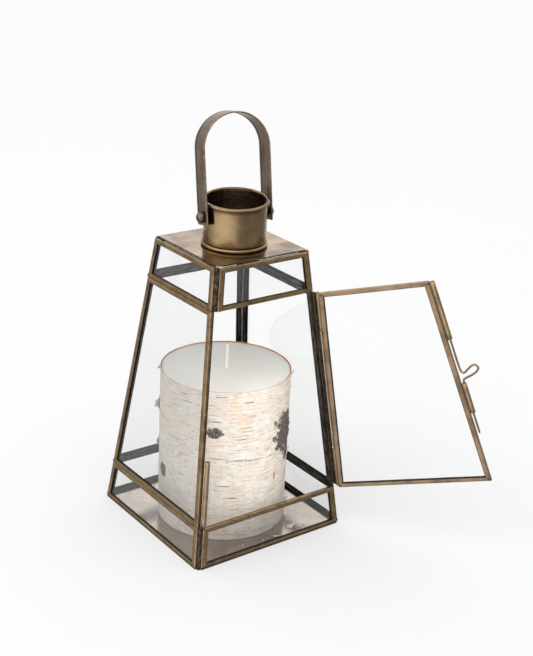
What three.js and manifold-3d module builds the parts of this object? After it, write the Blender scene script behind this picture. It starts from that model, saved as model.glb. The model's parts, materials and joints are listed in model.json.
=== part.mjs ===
// Candle lantern: a tapered brass and glass case with a hinged door, a chimney collar, a strap handle
// and a bark-wrapped pillar candle. Millimetres, +Z up, base on z = 0, the door in the -Y side.
import * as THREE from 'three';
import { mergeVertices } from 'three/addons/utils/BufferGeometryUtils.js';
import Module from 'manifold-3d';

const wasm = await Module();
wasm.setup();

// ---- driving dimensions ----
const GAP = 0.3;                  // between pieces that touch or are soldered together
const BASE = 141.6;                 // side of the square case at the bottom
const TOP = 87.5;                 // side of the square case at the top
const HEIGHT = 232.4;             // bottom of the base to the top of the roof plate
const BAND_LOW = 33.3;            // height of the joint between the bottom and middle bands
const BAND_HIGH = 199.3;          // height of the joint between the middle and top bands
const PLATE = 0.8;                // thickness of the base and roof plates
const ROOF_STEP = 3;              // the roof plate ends this far inside the top channels' faces

const STILE_FACE = 4.5;           // brass U-channel, width seen from outside: upright
const RAIL_FACE = 3.7;            // level
const BOTTOM_FACE = 2.9;          // level, standing on the base plate
const DOOR_STILE_FACE = 3.9;
const DOOR_RAIL_FACE = 3.6;
const CHANNEL_DEPTH = 3.4;        // and its thickness through the wall
const SHEET = 0.5;                // thickness of the channel's brass
const GLASS = 1.8;
const CORNER_INSET = 3.7;         // from the ideal corner edge to the end of a channel

const HINGE_OUT = 0.82;           // hinge axis stands this far outside both faces
const ROD_RADIUS = 0.8;
const KNUCKLE_RADIUS = 1.5;
const KNUCKLE_SHARE = 0.2;        // of the door's height, at its top and at its bottom
const DOOR_OPEN = 123.5;          // degrees from closed in the rest pose

const GUIDE_RADIUS = 1.9;         // latch guide tubes and the keeper tube
const GUIDE_BORE = 1.15;
const GUIDE_INSET = 4.6;          // tube axis from the left face at the closed door's free edge
const GUIDE_DEPTH = 1.8;          // and from the front face
const BOLT_RADIUS = 0.85;
const UPPER_GUIDE = [0.715, 0.995];  // spans along the free edge, as shares from its bottom end
const LOWER_GUIDE = [0.35, 0.498];
const KEEPER = [0.005, 0.315];
const BOLT_TIP = 0.245;
const BOLT_TOP = 0.80;
const LOOP_LEVEL = 0.545;         // where the bolt's finger loop leaves the edge
const LOOP_REACH = 14.2;

const COLLAR_X = 0.1;
const COLLAR_Y = -3.4;
const COLLAR_RADIUS = 24.3;
const COLLAR_WALL = 0.8;
const COLLAR_HEIGHT = 34.9;       // roof plate to the middle of the rolled rim
const RIM_BEAD = 1.3;
const RIM_TILT = 0.075;           // the rim is not quite level: rise per mm across, highest at the back
const RIM_TILT_WAY = 63;          // degrees round the collar from its right-hand rivet
const VENT_RADIUS = 21;           // smoke hole in the roof plate under the collar

const PIVOT_HEIGHT = 23.7;        // handle pivots above the roof plate
const STRAP_RADIUS = 26.8;        // middle of the strap in the arch, and of each leg from the axis
const STRAP_WIDTH = 18;
const STRAP_THICK = 1.2;
const LEG = 49.8;                 // pivots to the start of the arch
const LEG_TAIL = 6.2;             // strap below the pivots
const HANDLE_TURN = -10.3;        // degrees: the pivot axis is not quite square to the case
const HANDLE_LEAN = 10.9;         // degrees back from upright in the rest pose
const RIVET_RADIUS = 1.6;
const RIVET_HEAD = 4.4;

const CANDLE_RADIUS = 51.8;
const CANDLE_TOP = 129.6;
const CANDLE_X = -0.3;
const CANDLE_Y = -0.4;
const BARK = 0.9;
const WAX_DROP = 0.8;             // the wax ends below the bark's rim
const WICK_RADIUS = 1.2;
const WICK_LENGTH = 19.5;

// ---- worked out from them ----
const SLOPE = Math.atan((BASE - TOP) / 2 / HEIGHT);   // walls lean in by this angle
const EDGE_LEAN = Math.atan(Math.sin(SLOPE));         // lean of a corner edge within its wall's plane

// ---- materials ----
function material(color, roughness, metalness) {
  return new THREE.MeshStandardMaterial({ color, roughness, metalness });
}

const brass = material(0x8a7048, 0.42, 1.0);
const plateBrass = material(0x9c8a78, 0.4, 1.0);
const darkBrass = material(0x5f5140, 0.5, 1.0);
const solder = material(0x4c443c, 0.6, 0.9);
const glass = new THREE.MeshStandardMaterial({ color: 0xeef2f2, roughness: 0.05, metalness: 0, transparent: true, opacity: 0.25 });
const wax = material(0xe9e6e0, 0.55, 0);
const bark = material(0xdcd3c6, 0.85, 0);
const cotton = material(0xf2efe8, 0.9, 0);

// ---- geometry helpers ----
function toSolid(geometry) {
  const bare = geometry.clone();
  bare.deleteAttribute('normal');
  bare.deleteAttribute('uv');
  const merged = mergeVertices(bare, 1e-4);
  const source = new wasm.Mesh({
    numProp: 3,
    vertProperties: new Float32Array(merged.attributes.position.array),
    triVerts: new Uint32Array(merged.index.array),
  });
  return new wasm.Manifold(source);
}

function toGeometry(solid) {
  const source = solid.getMesh();
  const geometry = new THREE.BufferGeometry();
  geometry.setAttribute('position', new THREE.BufferAttribute(new Float32Array(source.vertProperties), 3));
  geometry.setIndex(new THREE.BufferAttribute(new Uint32Array(source.triVerts), 1));
  geometry.computeVertexNormals();
  return geometry;
}

function cut(geometry, ...tools) {
  let solid = toSolid(geometry);
  for (const tool of tools) {
    solid = solid.subtract(toSolid(tool));
  }
  return toGeometry(solid);
}

function add(parent, name, geometry, surface) {
  const mesh = new THREE.Mesh(geometry, surface);
  mesh.name = name;
  parent.add(mesh);
  return mesh;
}

function slab(outline, low, high) {
  const geometry = new THREE.ExtrudeGeometry(new THREE.Shape(outline), { depth: high - low, bevelEnabled: false });
  geometry.translate(0, 0, low);
  return geometry;
}

// A convex outline (anticlockwise) moved in by one distance, or by one for each of its sides in turn.
function inset(outline, distance) {
  const count = outline.length;
  const depths = outline.map((corner, i) => (Array.isArray(distance) ? distance[i] : distance));
  return outline.map((corner, i) => {
    const last = (i + count - 1) % count;
    const before = corner.clone().sub(outline[last]).normalize();
    const after = outline[(i + 1) % count].clone().sub(corner).normalize();
    const turn = before.cross(after);
    const moved = corner.clone().addScaledVector(before, -depths[i] / turn);
    return moved.addScaledVector(after, depths[last] / turn);
  });
}

function tube(outer, bore, low, high, segments) {
  const profile = [
    new THREE.Vector2(bore, low),
    new THREE.Vector2(outer, low),
    new THREE.Vector2(outer, high),
    new THREE.Vector2(bore, high),
    new THREE.Vector2(bore, low),
  ];
  return new THREE.LatheGeometry(profile, segments);
}

// ---- walls: a trapezoid pane of glass held in a mitred U-channel ----
const lantern = new THREE.Group();

function up(height) {
  return height / Math.cos(SLOPE);
}

function halfWidth(slant) {
  return BASE / 2 - Math.sin(SLOPE) * slant;
}

// In a wall's own frame x runs along the wall, y up its slope and z out of it; the outside is z = 0.
function wallFrame(quarterTurns) {
  const side = new THREE.Group();
  side.rotation.z = quarterTurns * Math.PI / 2;
  const face = new THREE.Group();
  face.position.y = -BASE / 2;
  face.rotation.x = Math.PI / 2 - SLOPE;
  side.add(face);
  lantern.add(side);
  return face;
}

function paneOutline(low, high, leftInset, rightInset) {
  return [
    new THREE.Vector2(-halfWidth(low) + leftInset, low),
    new THREE.Vector2(halfWidth(low) - rightInset, low),
    new THREE.Vector2(halfWidth(high) - rightInset, high),
    new THREE.Vector2(-halfWidth(high) + leftInset, high),
  ];
}

// faces: the channel's width along the bottom, right, top and left of the pane
function framedPane(parent, suffix, outline, faces) {
  const slot = GLASS + 2 * GAP;
  const middle = -CHANNEL_DEPTH / 2;
  const ring = cut(
    slab(outline, -CHANNEL_DEPTH, 0),
    slab(inset(outline, faces), -CHANNEL_DEPTH - 1, 1),
    slab(inset(outline, SHEET + GAP), middle - slot / 2, middle + slot / 2),
  );
  add(parent, `channel_${suffix}`, ring, brass);
  const pane = slab(inset(outline, SHEET + 2 * GAP), middle - GLASS / 2, middle + GLASS / 2);
  add(parent, `glass_${suffix}`, pane, glass);
}

const SIDES = ['front', 'right', 'back', 'left'];   // -Y, +X, +Y, -X
const walls = SIDES.map((side, i) => wallFrame(i));

const WALL_FACES = [RAIL_FACE, STILE_FACE, RAIL_FACE, STILE_FACE];
const FOOT_FACES = [BOTTOM_FACE, STILE_FACE, RAIL_FACE, STILE_FACE];
const DOOR_FACES = [DOOR_RAIL_FACE, DOOR_STILE_FACE, DOOR_RAIL_FACE, DOOR_STILE_FACE];

// the foot of a leaning channel dips by this much at its inner edge
const dip = CHANNEL_DEPTH * Math.sin(SLOPE);

SIDES.forEach((side, i) => {
  const low = paneOutline(up(PLATE + GAP + dip), up(BAND_LOW) - GAP / 2, CORNER_INSET, CORNER_INSET);
  const middle = paneOutline(up(BAND_LOW) + GAP / 2, up(BAND_HIGH) - GAP / 2, CORNER_INSET, CORNER_INSET);
  const high = paneOutline(up(BAND_HIGH) + GAP / 2, up(HEIGHT - PLATE - GAP), CORNER_INSET, CORNER_INSET);
  framedPane(walls[i], `low_${side}`, low, FOOT_FACES);
  if (side !== 'front') {
    framedPane(walls[i], `mid_${side}`, middle, WALL_FACES);
  }
  framedPane(walls[i], `top_${side}`, high, WALL_FACES);
});

// ---- solder run into the corner between two channels ----
function cornerSeam(name, quarterTurns, low, high) {
  const reach = CORNER_INSET - GAP;
  const lip = 0.9;
  const hollow = 2.1;
  const section = [
    new THREE.Vector2(reach, lip),
    new THREE.Vector2(reach, reach),
    new THREE.Vector2(lip, reach),
    new THREE.Vector2(hollow, hollow),
  ];
  const geometry = slab(section, low, high);
  const lean = Math.tan(SLOPE);
  geometry.applyMatrix4(new THREE.Matrix4().makeShear(0, 0, 0, 0, lean, lean));
  const corner = new THREE.Group();
  corner.rotation.z = quarterTurns * Math.PI / 2;
  const seam = add(corner, name, geometry, solder);
  seam.position.set(-BASE / 2, -BASE / 2, 0);
  lantern.add(corner);
}

const CORNERS = ['front_left', 'front_right', 'back_right', 'back_left'];
CORNERS.forEach((corner, i) => {
  cornerSeam(`seam_low_${corner}`, i, 0, BAND_LOW - GAP / 2);
  cornerSeam(`seam_top_${corner}`, i, BAND_HIGH + GAP / 2, HEIGHT - PLATE - GAP);
});
cornerSeam('seam_mid_back_right', 2, BAND_LOW + GAP / 2, BAND_HIGH - GAP / 2);
cornerSeam('seam_mid_back_left', 3, BAND_LOW + GAP / 2, BAND_HIGH - GAP / 2);

// ---- base plate, notched at its corners for the solder ----
function basePlate() {
  const half = BASE / 2 - 0.2;
  const notch = half - CORNER_INSET;
  const outline = [];
  for (let i = 0; i < 4; i += 1) {
    const turn = i * Math.PI / 2;
    const centre = new THREE.Vector2(0, 0);
    outline.push(new THREE.Vector2(-notch, -half).rotateAround(centre, turn));
    outline.push(new THREE.Vector2(notch, -half).rotateAround(centre, turn));
    outline.push(new THREE.Vector2(notch, -notch).rotateAround(centre, turn));
  }
  add(lantern, 'base_plate', slab(outline, 0, PLATE), plateBrass);
}
basePlate();

// ---- roof plate with the vent under the collar ----
function roofPlate() {
  const half = TOP / 2 - ROOF_STEP;
  const shape = new THREE.Shape([
    new THREE.Vector2(-half, -half),
    new THREE.Vector2(half, -half),
    new THREE.Vector2(half, half),
    new THREE.Vector2(-half, half),
  ]);
  const vent = new THREE.Path();
  vent.absarc(COLLAR_X, COLLAR_Y, VENT_RADIUS, 0, 2 * Math.PI, true);
  shape.holes.push(vent);
  const geometry = new THREE.ExtrudeGeometry(shape, { depth: PLATE, bevelEnabled: false, curveSegments: 32 });
  geometry.translate(0, 0, HEIGHT - PLATE);
  add(lantern, 'roof_plate', geometry, plateBrass);
}
roofPlate();

// ---- chimney collar: one rolled sheet, beaded at the foot and rolled out at the rim ----
const crown = new THREE.Group();       // collar, rivets and handle share this frame
crown.position.set(COLLAR_X, COLLAR_Y, HEIGHT);
crown.rotation.z = THREE.MathUtils.degToRad(HANDLE_TURN);
lantern.add(crown);

function arc(centreX, centreY, radius, from, to, steps) {
  const points = [];
  for (let i = 0; i <= steps; i += 1) {
    const angle = THREE.MathUtils.degToRad(from + (to - from) * i / steps);
    points.push(new THREE.Vector2(centreX + radius * Math.cos(angle), centreY + radius * Math.sin(angle)));
  }
  return points;
}

function collar() {
  const outer = COLLAR_RADIUS;
  const inner = COLLAR_RADIUS - COLLAR_WALL;
  const foot = GAP + RIM_BEAD;
  const profile = [
    new THREE.Vector2(inner, GAP),
    ...arc(outer + 0.15, foot, RIM_BEAD, -90, 95, 7),
    new THREE.Vector2(outer, foot + RIM_BEAD + 0.6),
    new THREE.Vector2(outer, COLLAR_HEIGHT - RIM_BEAD - 0.4),
    ...arc(outer, COLLAR_HEIGHT, RIM_BEAD, -80, 200, 9),
    new THREE.Vector2(inner, COLLAR_HEIGHT - RIM_BEAD),
    new THREE.Vector2(inner, GAP),
  ];
  const shell = new THREE.LatheGeometry(profile, 40);
  shell.rotateX(Math.PI / 2);
  const way = THREE.MathUtils.degToRad(RIM_TILT_WAY);
  const lift = shell.attributes.position;
  for (let i = 0; i < lift.count; i += 1) {
    const across = lift.getX(i) * Math.cos(way) + lift.getY(i) * Math.sin(way);
    const share = Math.max(0, lift.getZ(i) - foot) / COLLAR_HEIGHT;
    lift.setZ(i, lift.getZ(i) + RIM_TILT * share * across);
  }
  const drill = new THREE.CylinderGeometry(RIVET_RADIUS + GAP, RIVET_RADIUS + GAP, 3 * COLLAR_RADIUS, 16);
  drill.rotateZ(Math.PI / 2);
  drill.translate(0, 0, PIVOT_HEIGHT);
  add(crown, 'collar', cut(shell, drill), brass);
}
collar();

// ---- handle rivets: tail inside the collar, shoulder against its wall, dome outside the strap ----
function rivet(name, direction) {
  const tail = COLLAR_RADIUS - COLLAR_WALL - 0.6;
  const shoulder = COLLAR_RADIUS + 0.45;
  const strapInside = STRAP_RADIUS - STRAP_THICK / 2 - GAP;
  const strapOutside = STRAP_RADIUS + STRAP_THICK / 2 + GAP;
  const profile = [
    new THREE.Vector2(0, tail - 1.4),
    new THREE.Vector2(2.2, tail - 1.2),
    new THREE.Vector2(2.7, tail),
    new THREE.Vector2(RIVET_RADIUS, tail),
    new THREE.Vector2(RIVET_RADIUS, shoulder),
    new THREE.Vector2(3, shoulder),
    new THREE.Vector2(3, strapInside),
    new THREE.Vector2(RIVET_RADIUS, strapInside),
    new THREE.Vector2(RIVET_RADIUS, strapOutside),
    new THREE.Vector2(RIVET_HEAD, strapOutside),
    new THREE.Vector2(RIVET_HEAD * 0.99, strapOutside + 1.5),
    new THREE.Vector2(RIVET_HEAD * 0.84, strapOutside + 3.0),
    new THREE.Vector2(RIVET_HEAD * 0.5, strapOutside + 4.2),
    new THREE.Vector2(0, strapOutside + 4.7),
  ];
  const geometry = new THREE.LatheGeometry(profile, 16);
  geometry.rotateZ(-direction * Math.PI / 2);
  geometry.translate(0, 0, PIVOT_HEIGHT);
  add(crown, name, geometry, darkBrass);
}
rivet('rivet_left', -1);
rivet('rivet_right', 1);

// ---- handle: one bent strap ----
function handle() {
  const outer = STRAP_RADIUS + STRAP_THICK / 2;
  const inner = STRAP_RADIUS - STRAP_THICK / 2;
  const outline = [
    new THREE.Vector2(outer, -LEG_TAIL),
    ...arc(0, LEG, outer, 0, 180, 24),
    new THREE.Vector2(-outer, -LEG_TAIL),
    new THREE.Vector2(-inner, -LEG_TAIL),
    ...arc(0, LEG, inner, 180, 0, 24),
    new THREE.Vector2(inner, -LEG_TAIL),
  ];
  const strap = slab(outline, -STRAP_WIDTH / 2, STRAP_WIDTH / 2);
  const drill = new THREE.CylinderGeometry(RIVET_RADIUS + 0.12, RIVET_RADIUS + 0.12, 3 * STRAP_RADIUS, 20);
  drill.rotateZ(Math.PI / 2);
  const bail = new THREE.Group();
  bail.position.z = PIVOT_HEIGHT;
  bail.rotation.x = THREE.MathUtils.degToRad(90 - HANDLE_LEAN);
  crown.add(bail);
  add(bail, 'handle_strap', cut(strap, drill), brass);
}
handle();

// ---- door hinge: y of this frame is the hinge axis, which lies along the front right corner ----
const bandStart = up(BAND_LOW);
const bandLength = (up(BAND_HIGH) - bandStart) / Math.cos(EDGE_LEAN);
const hinge = new THREE.Group();
hinge.position.set(halfWidth(bandStart) + HINGE_OUT, bandStart, HINGE_OUT);
hinge.rotation.z = EDGE_LEAN;
walls[0].add(hinge);

const rod = new THREE.CylinderGeometry(ROD_RADIUS, ROD_RADIUS, bandLength - 2 * GAP, 16);
rod.translate(0, bandLength / 2, 0);
add(hinge, 'hinge_rod', rod, darkBrass);

// the strip that ties the rod to the side wall: low behind the knuckles, full height between them
function hingeStrip() {
  const back = -4.2;
  const behindKnuckles = -KNUCKLE_RADIUS - GAP - 0.1;
  const behindRod = -ROD_RADIUS - GAP - 0.15;
  const end = 3 * GAP;
  const shoulder = bandLength * KNUCKLE_SHARE + 4 * GAP;
  const outline = [
    new THREE.Vector2(end, back),
    new THREE.Vector2(bandLength - end, back),
    new THREE.Vector2(bandLength - end, behindKnuckles),
    new THREE.Vector2(bandLength - shoulder, behindKnuckles),
    new THREE.Vector2(bandLength - shoulder, behindRod),
    new THREE.Vector2(shoulder, behindRod),
    new THREE.Vector2(shoulder, behindKnuckles),
    new THREE.Vector2(end, behindKnuckles),
  ];
  const geometry = slab(outline, -1.45, -0.15);
  const along = new THREE.Vector3(0, 1, 0);
  const out = new THREE.Vector3(0, 0, 1);
  const across = new THREE.Vector3(1, 0, 0);
  geometry.applyMatrix4(new THREE.Matrix4().makeBasis(along, out, across));
  add(hinge, 'hinge_solder', geometry, solder);
}
hingeStrip();

// ---- door, drawn closed in the hinge frame and then swung open ----
const door = new THREE.Group();
door.rotation.y = THREE.MathUtils.degToRad(DOOR_OPEN);
hinge.add(door);

// a point of the front wall's plane in the hinge frame
function inHinge(x, y) {
  const point = new THREE.Vector2(x - hinge.position.x, y - hinge.position.y);
  return point.rotateAround(new THREE.Vector2(0, 0), -EDGE_LEAN);
}

const stileClear = (KNUCKLE_RADIUS + GAP) / Math.cos(EDGE_LEAN) - HINGE_OUT;
const tubeClear = GUIDE_INSET + GUIDE_RADIUS + GAP;
const closedOutline = paneOutline(bandStart + GAP, up(BAND_HIGH) - GAP, tubeClear, stileClear);
const doorOutline = closedOutline.map((corner) => inHinge(corner.x, corner.y));
const leaf = new THREE.Group();
leaf.position.z = -HINGE_OUT;
door.add(leaf);
framedPane(leaf, 'door', doorOutline, DOOR_FACES);

function knuckle(name, low, high) {
  const bore = ROD_RADIUS + 0.1;
  add(door, name, tube(KNUCKLE_RADIUS, bore, low, high, 16), brass);
}
const knuckleLength = bandLength * KNUCKLE_SHARE;
knuckle('knuckle_low', 2 * GAP, knuckleLength);
knuckle('knuckle_high', bandLength - knuckleLength, bandLength - 2 * GAP);

// ---- latch: a frame along the front left corner edge; x points towards the door ----
function latchFrame(parent, toParent) {
  const foot = toParent(-halfWidth(bandStart) + GUIDE_INSET, bandStart);
  const head = toParent(-halfWidth(up(BAND_HIGH)) + GUIDE_INSET, up(BAND_HIGH));
  const frame = new THREE.Group();
  frame.position.set(foot.x, foot.y, -GUIDE_DEPTH);
  frame.rotation.z = Math.atan2(head.y - foot.y, head.x - foot.x) - Math.PI / 2;
  parent.add(frame);
  return frame;
}

function guideTube(parent, name, span) {
  add(parent, name, tube(GUIDE_RADIUS, GUIDE_BORE, span[0] * bandLength, span[1] * bandLength, 16), brass);
}

const doorEdge = latchFrame(leaf, inHinge);
guideTube(doorEdge, 'guide_high', UPPER_GUIDE);
guideTube(doorEdge, 'guide_low', LOWER_GUIDE);

const frameEdge = latchFrame(walls[0], (x, y) => new THREE.Vector2(x, y));
guideTube(frameEdge, 'keeper_tube', KEEPER);

// ---- latch bolt: one wire, straight in the guides, bent out into a finger loop between them ----
function latchBolt() {
  const loop = LOOP_LEVEL * bandLength;
  const route = [
    [0, BOLT_TOP * bandLength],
    [0, 0.7 * bandLength],
    [0, 0.62 * bandLength],
    [-0.1, loop + 6],
    [-0.6, loop + 1.7],
    [-2.2, loop + 0.2],
    [-4.6, loop + 1.4],
    [-9.4, loop + 4.5],
    [-LOOP_REACH + 1.7, loop + 5],
    [-LOOP_REACH, loop + 2.1],
    [-LOOP_REACH + 2.2, loop - 0.6],
    [-7.8, loop - 2.7],
    [-3.2, loop - 4],
    [-0.7, loop - 5.2],
    [0, loop - 7.4],
    [0, loop - 9.6],
    [0, 0.4 * bandLength],
    [0, BOLT_TIP * bandLength],
  ];
  const path = new THREE.CatmullRomCurve3(route.map(([x, y]) => new THREE.Vector3(x, y, 0)));
  const section = new THREE.Shape();
  section.absarc(0, 0, BOLT_RADIUS, 0, 2 * Math.PI, false);
  const wire = new THREE.ExtrudeGeometry(section, { steps: 110, curveSegments: 4, extrudePath: path });
  add(doorEdge, 'latch_bolt', wire, darkBrass);
}
latchBolt();

// ---- candle: a pillar of wax wrapped in bark, with its wick ----
function candle() {
  const pillar = new THREE.Group();
  pillar.position.set(CANDLE_X, CANDLE_Y, 0);
  lantern.add(pillar);
  const bottom = PLATE + GAP;
  const wrap = tube(CANDLE_RADIUS, CANDLE_RADIUS - BARK, bottom, CANDLE_TOP, 48);
  wrap.rotateX(Math.PI / 2);
  add(pillar, 'candle_bark', wrap, bark);
  const waxRadius = CANDLE_RADIUS - BARK - GAP;
  const waxHeight = CANDLE_TOP - WAX_DROP - bottom;
  const body = new THREE.CylinderGeometry(waxRadius, waxRadius, waxHeight, 48);
  body.rotateX(Math.PI / 2);
  body.translate(0, 0, bottom + waxHeight / 2);
  add(pillar, 'candle_wax', body, wax);
  const wick = new THREE.CylinderGeometry(WICK_RADIUS * 0.9, WICK_RADIUS, WICK_LENGTH, 10);
  wick.rotateX(Math.PI / 2);
  wick.translate(0, 0, CANDLE_TOP - WAX_DROP + GAP + WICK_LENGTH / 2);
  add(pillar, 'candle_wick', wick, cotton);
}
candle();

export default lantern;
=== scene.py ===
import json
import math
import bmesh
import bpy
import numpy as np
from mathutils import Matrix, Vector, noise


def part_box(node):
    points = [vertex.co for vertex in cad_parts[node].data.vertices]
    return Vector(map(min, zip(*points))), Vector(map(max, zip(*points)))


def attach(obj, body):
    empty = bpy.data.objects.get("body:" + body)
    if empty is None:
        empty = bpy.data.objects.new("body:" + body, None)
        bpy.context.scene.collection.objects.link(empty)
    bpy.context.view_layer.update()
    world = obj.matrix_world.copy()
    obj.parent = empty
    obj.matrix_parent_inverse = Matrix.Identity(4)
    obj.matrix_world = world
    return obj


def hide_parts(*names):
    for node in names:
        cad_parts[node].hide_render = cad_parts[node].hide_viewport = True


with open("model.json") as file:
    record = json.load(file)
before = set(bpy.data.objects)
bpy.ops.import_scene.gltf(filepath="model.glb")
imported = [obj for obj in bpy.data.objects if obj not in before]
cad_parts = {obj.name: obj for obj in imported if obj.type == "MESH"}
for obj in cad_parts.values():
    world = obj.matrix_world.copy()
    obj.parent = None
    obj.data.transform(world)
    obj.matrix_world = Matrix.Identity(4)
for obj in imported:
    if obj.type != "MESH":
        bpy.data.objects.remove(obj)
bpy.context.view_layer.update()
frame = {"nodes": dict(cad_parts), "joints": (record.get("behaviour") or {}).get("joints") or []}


# ---- base and roof plates ----
# Two flat squares of sheet brass, browned with liver of sulphur and waxed to a soft mirror.
# The base closes the case from below; the roof plate has a smoke hole under the collar.
MM = 0.001


def plug_in(tree, made, inputs):
    """Links or sets each named input of a node."""
    for key, value in inputs.items():
        if isinstance(value, bpy.types.NodeSocket):
            tree.links.new(value, made.inputs[key])
        else:
            made.inputs[key].default_value = value


def node(tree, kind, inputs=None, **settings):
    made = tree.nodes.new("ShaderNode" + kind)
    for key, value in settings.items():
        setattr(made, key, value)
    plug_in(tree, made, inputs or {})
    return made


def stretched(tree, vector, x, y, z=1.0):
    return node(tree, "Mapping", {"Vector": vector, "Scale": (x, y, z)}).outputs["Vector"]


def cloud(tree, vector, scale, detail=4.0, rough=0.55):
    inputs = {"Vector": vector, "Scale": scale, "Detail": detail, "Roughness": rough}
    return node(tree, "TexNoise", inputs).outputs["Fac"]


def between(tree, value, low, high, start=0.0, end=1.0):
    inputs = {"Value": value, "From Min": low, "From Max": high, "To Min": start, "To Max": end}
    return node(tree, "MapRange", inputs, interpolation_type="SMOOTHSTEP").outputs["Result"]


def maths(tree, operation, first, second=0.0):
    return node(tree, "Math", {0: first, 1: second}, operation=operation).outputs[0]


def vectors(tree, operation, first, second=(0.0, 0.0, 0.0)):
    made = node(tree, "VectorMath", {0: first, 1: second}, operation=operation)
    return made.outputs["Value" if operation in ("LENGTH", "DOT_PRODUCT") else 0]


def on_piece(tree):
    """Places measured on the piece itself."""
    return node(tree, "TexCoord").outputs["Object"]


def mixed(tree, factor, first, second, kind="MIX"):
    made = node(tree, "Mix", {0: factor, 6: first, 7: second}, data_type="RGBA", blend_type=kind)
    return made.outputs[2]


def new_group(name, inputs, outputs):
    group = bpy.data.node_groups.new(name, "ShaderNodeTree")
    for label, kind in inputs:
        group.interface.new_socket(label, in_out="INPUT", socket_type="NodeSocket" + kind)
    for label, kind in outputs:
        group.interface.new_socket(label, in_out="OUTPUT", socket_type="NodeSocket" + kind)
    return group, group.nodes.new("NodeGroupInput").outputs, group.nodes.new("NodeGroupOutput").inputs


def use_group(tree, group, inputs):
    made = tree.nodes.new("ShaderNodeGroup")
    made.node_tree = group
    plug_in(tree, made, inputs)
    return made.outputs


def new_material(name, **settings):
    made = bpy.data.materials.new(name)
    made.use_nodes = True
    shader = made.node_tree.nodes["Principled BSDF"]
    for label, value in settings.items():
        shader.inputs[label.replace("_", " ")].default_value = value
    return made, made.node_tree, shader


def feed(tree, shader, color, rough=None):
    """Links the colour, and a roughness that varies, to the shader."""
    tree.links.new(color, shader.inputs["Base Color"])
    if rough is not None:
        tree.links.new(rough, shader.inputs["Roughness"])


def bump(tree, shader, height, strength, distance):
    inputs = {"Height": height, "Strength": strength, "Distance": distance}
    tree.links.new(node(tree, "Bump", inputs).outputs["Normal"], shader.inputs["Normal"])


def patina_group():
    """Browned brass: cloudy patches, rubbed streaks along x of the vector, and a fine grain."""
    labels = [("Vector", "Vector"), ("Tone", "Color"), ("Shade", "Color"), ("Glint", "Color"),
              ("Cloud", "Float"), ("Streak", "Float"), ("Stretch", "Float")]
    group, given, result = new_group("browned_brass", labels,
                                     [("Color", "Color"), ("Roughness", "Float"), ("Height", "Float")])
    along = node(group, "CombineXYZ", {0: 1.0, 1: given["Stretch"], 2: 1.0}).outputs[0]
    lines = vectors(group, "MULTIPLY", given["Vector"], along)
    patches = cloud(group, given["Vector"], given["Cloud"], 5.0, 0.6)
    streaks = cloud(group, lines, given["Streak"], 4.0, 0.6)
    grain = cloud(group, given["Vector"], 1100.0, 3.0)
    color = mixed(group, between(group, patches, 0.4, 0.66), given["Tone"], given["Shade"])
    color = mixed(group, between(group, streaks, 0.5, 0.78), color, given["Glint"])
    dim = between(group, grain, 0.3, 0.7, 0.84, 1.12)
    grey = node(group, "CombineXYZ", {0: dim, 1: dim, 2: dim}).outputs[0]
    color = mixed(group, 1.0, color, grey, "MULTIPLY")
    group.links.new(color, result["Color"])
    spread = maths(group, "MULTIPLY", patches, 0.35)
    group.links.new(maths(group, "ADD", spread, maths(group, "MULTIPLY", grain, 0.12)), result["Roughness"])
    group.links.new(maths(group, "ADD", streaks, maths(group, "MULTIPLY", grain, 0.5)), result["Height"])
    return group


browned_brass = patina_group()


def plate_material(name, tone, shade, glint, patches, dull):
    made, tree, shader = new_material(name, Metallic=1.0)
    place = on_piece(tree)
    given = {"Vector": place, "Tone": tone, "Shade": shade, "Glint": glint,
             "Cloud": patches, "Streak": patches * 0.6, "Stretch": 1.6}
    found = use_group(tree, browned_brass, given)
    feed(tree, shader, found["Color"], maths(tree, "MULTIPLY", found["Roughness"], dull))
    bump(tree, shader, found["Height"], 0.1, 0.0004)
    return made


base_brass = plate_material("base_brass", (0.46, 0.40, 0.355, 1), (0.36, 0.305, 0.262, 1),
                            (0.53, 0.475, 0.43, 1), 30.0, 0.8)
roof_brass = plate_material("roof_brass", (0.36, 0.265, 0.185, 1), (0.17, 0.115, 0.078, 1),
                            (0.50, 0.36, 0.235, 1), 42.0, 0.5)


def carried(name, material):
    """A CAD piece whose shape is right, given its finish."""
    piece = frame["nodes"][name]
    piece.data.materials.clear()
    piece.data.materials.append(material)
    return piece


def soften(piece, width, segments, flatten=False):
    """Rounds the edges of a carried piece; a flat plate has its flat faces made whole first."""
    piece.modifiers.new("weld", "WELD").merge_threshold = 0.01 * MM
    if flatten:
        piece.modifiers.new("flat", "DECIMATE").decimate_type = "DISSOLVE"
    soft = piece.modifiers.new("soft_edges", "BEVEL")
    soft.width = width
    soft.segments = segments


for plate_name, plate_brass in (("base_plate", base_brass), ("roof_plate", roof_brass)):
    soften(carried(plate_name, plate_brass), 0.25 * MM, 2, flatten=True)


# ---- channels ----
# Each pane sits in a frame of U-channel folded from thin brass, mitred and soldered at its corners.
# The outside is brown, with rubbed gold along the folds that is partly a painted highlight. The faces inside
# the case and by the glass are coloured near-black, mottled grey with a painted reflection of the glass, and
# the lips by the glass carry painted shade mixed with grime.
LIP = 0.5 * MM
LIP_ROUND = 0.12 * MM
CROWN = 0.05 * MM
FOLD_RADIUS = 0.62 * MM
MITRE_GAP = 0.06 * MM
RAIL_STEP = 5 * MM
WAVER = 0.09 * MM


def points_of(name):
    spots = np.array([v.co[:] for v in frame["nodes"][name].data.vertices])
    return np.unique(np.round(spots, 6), axis=0)


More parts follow.
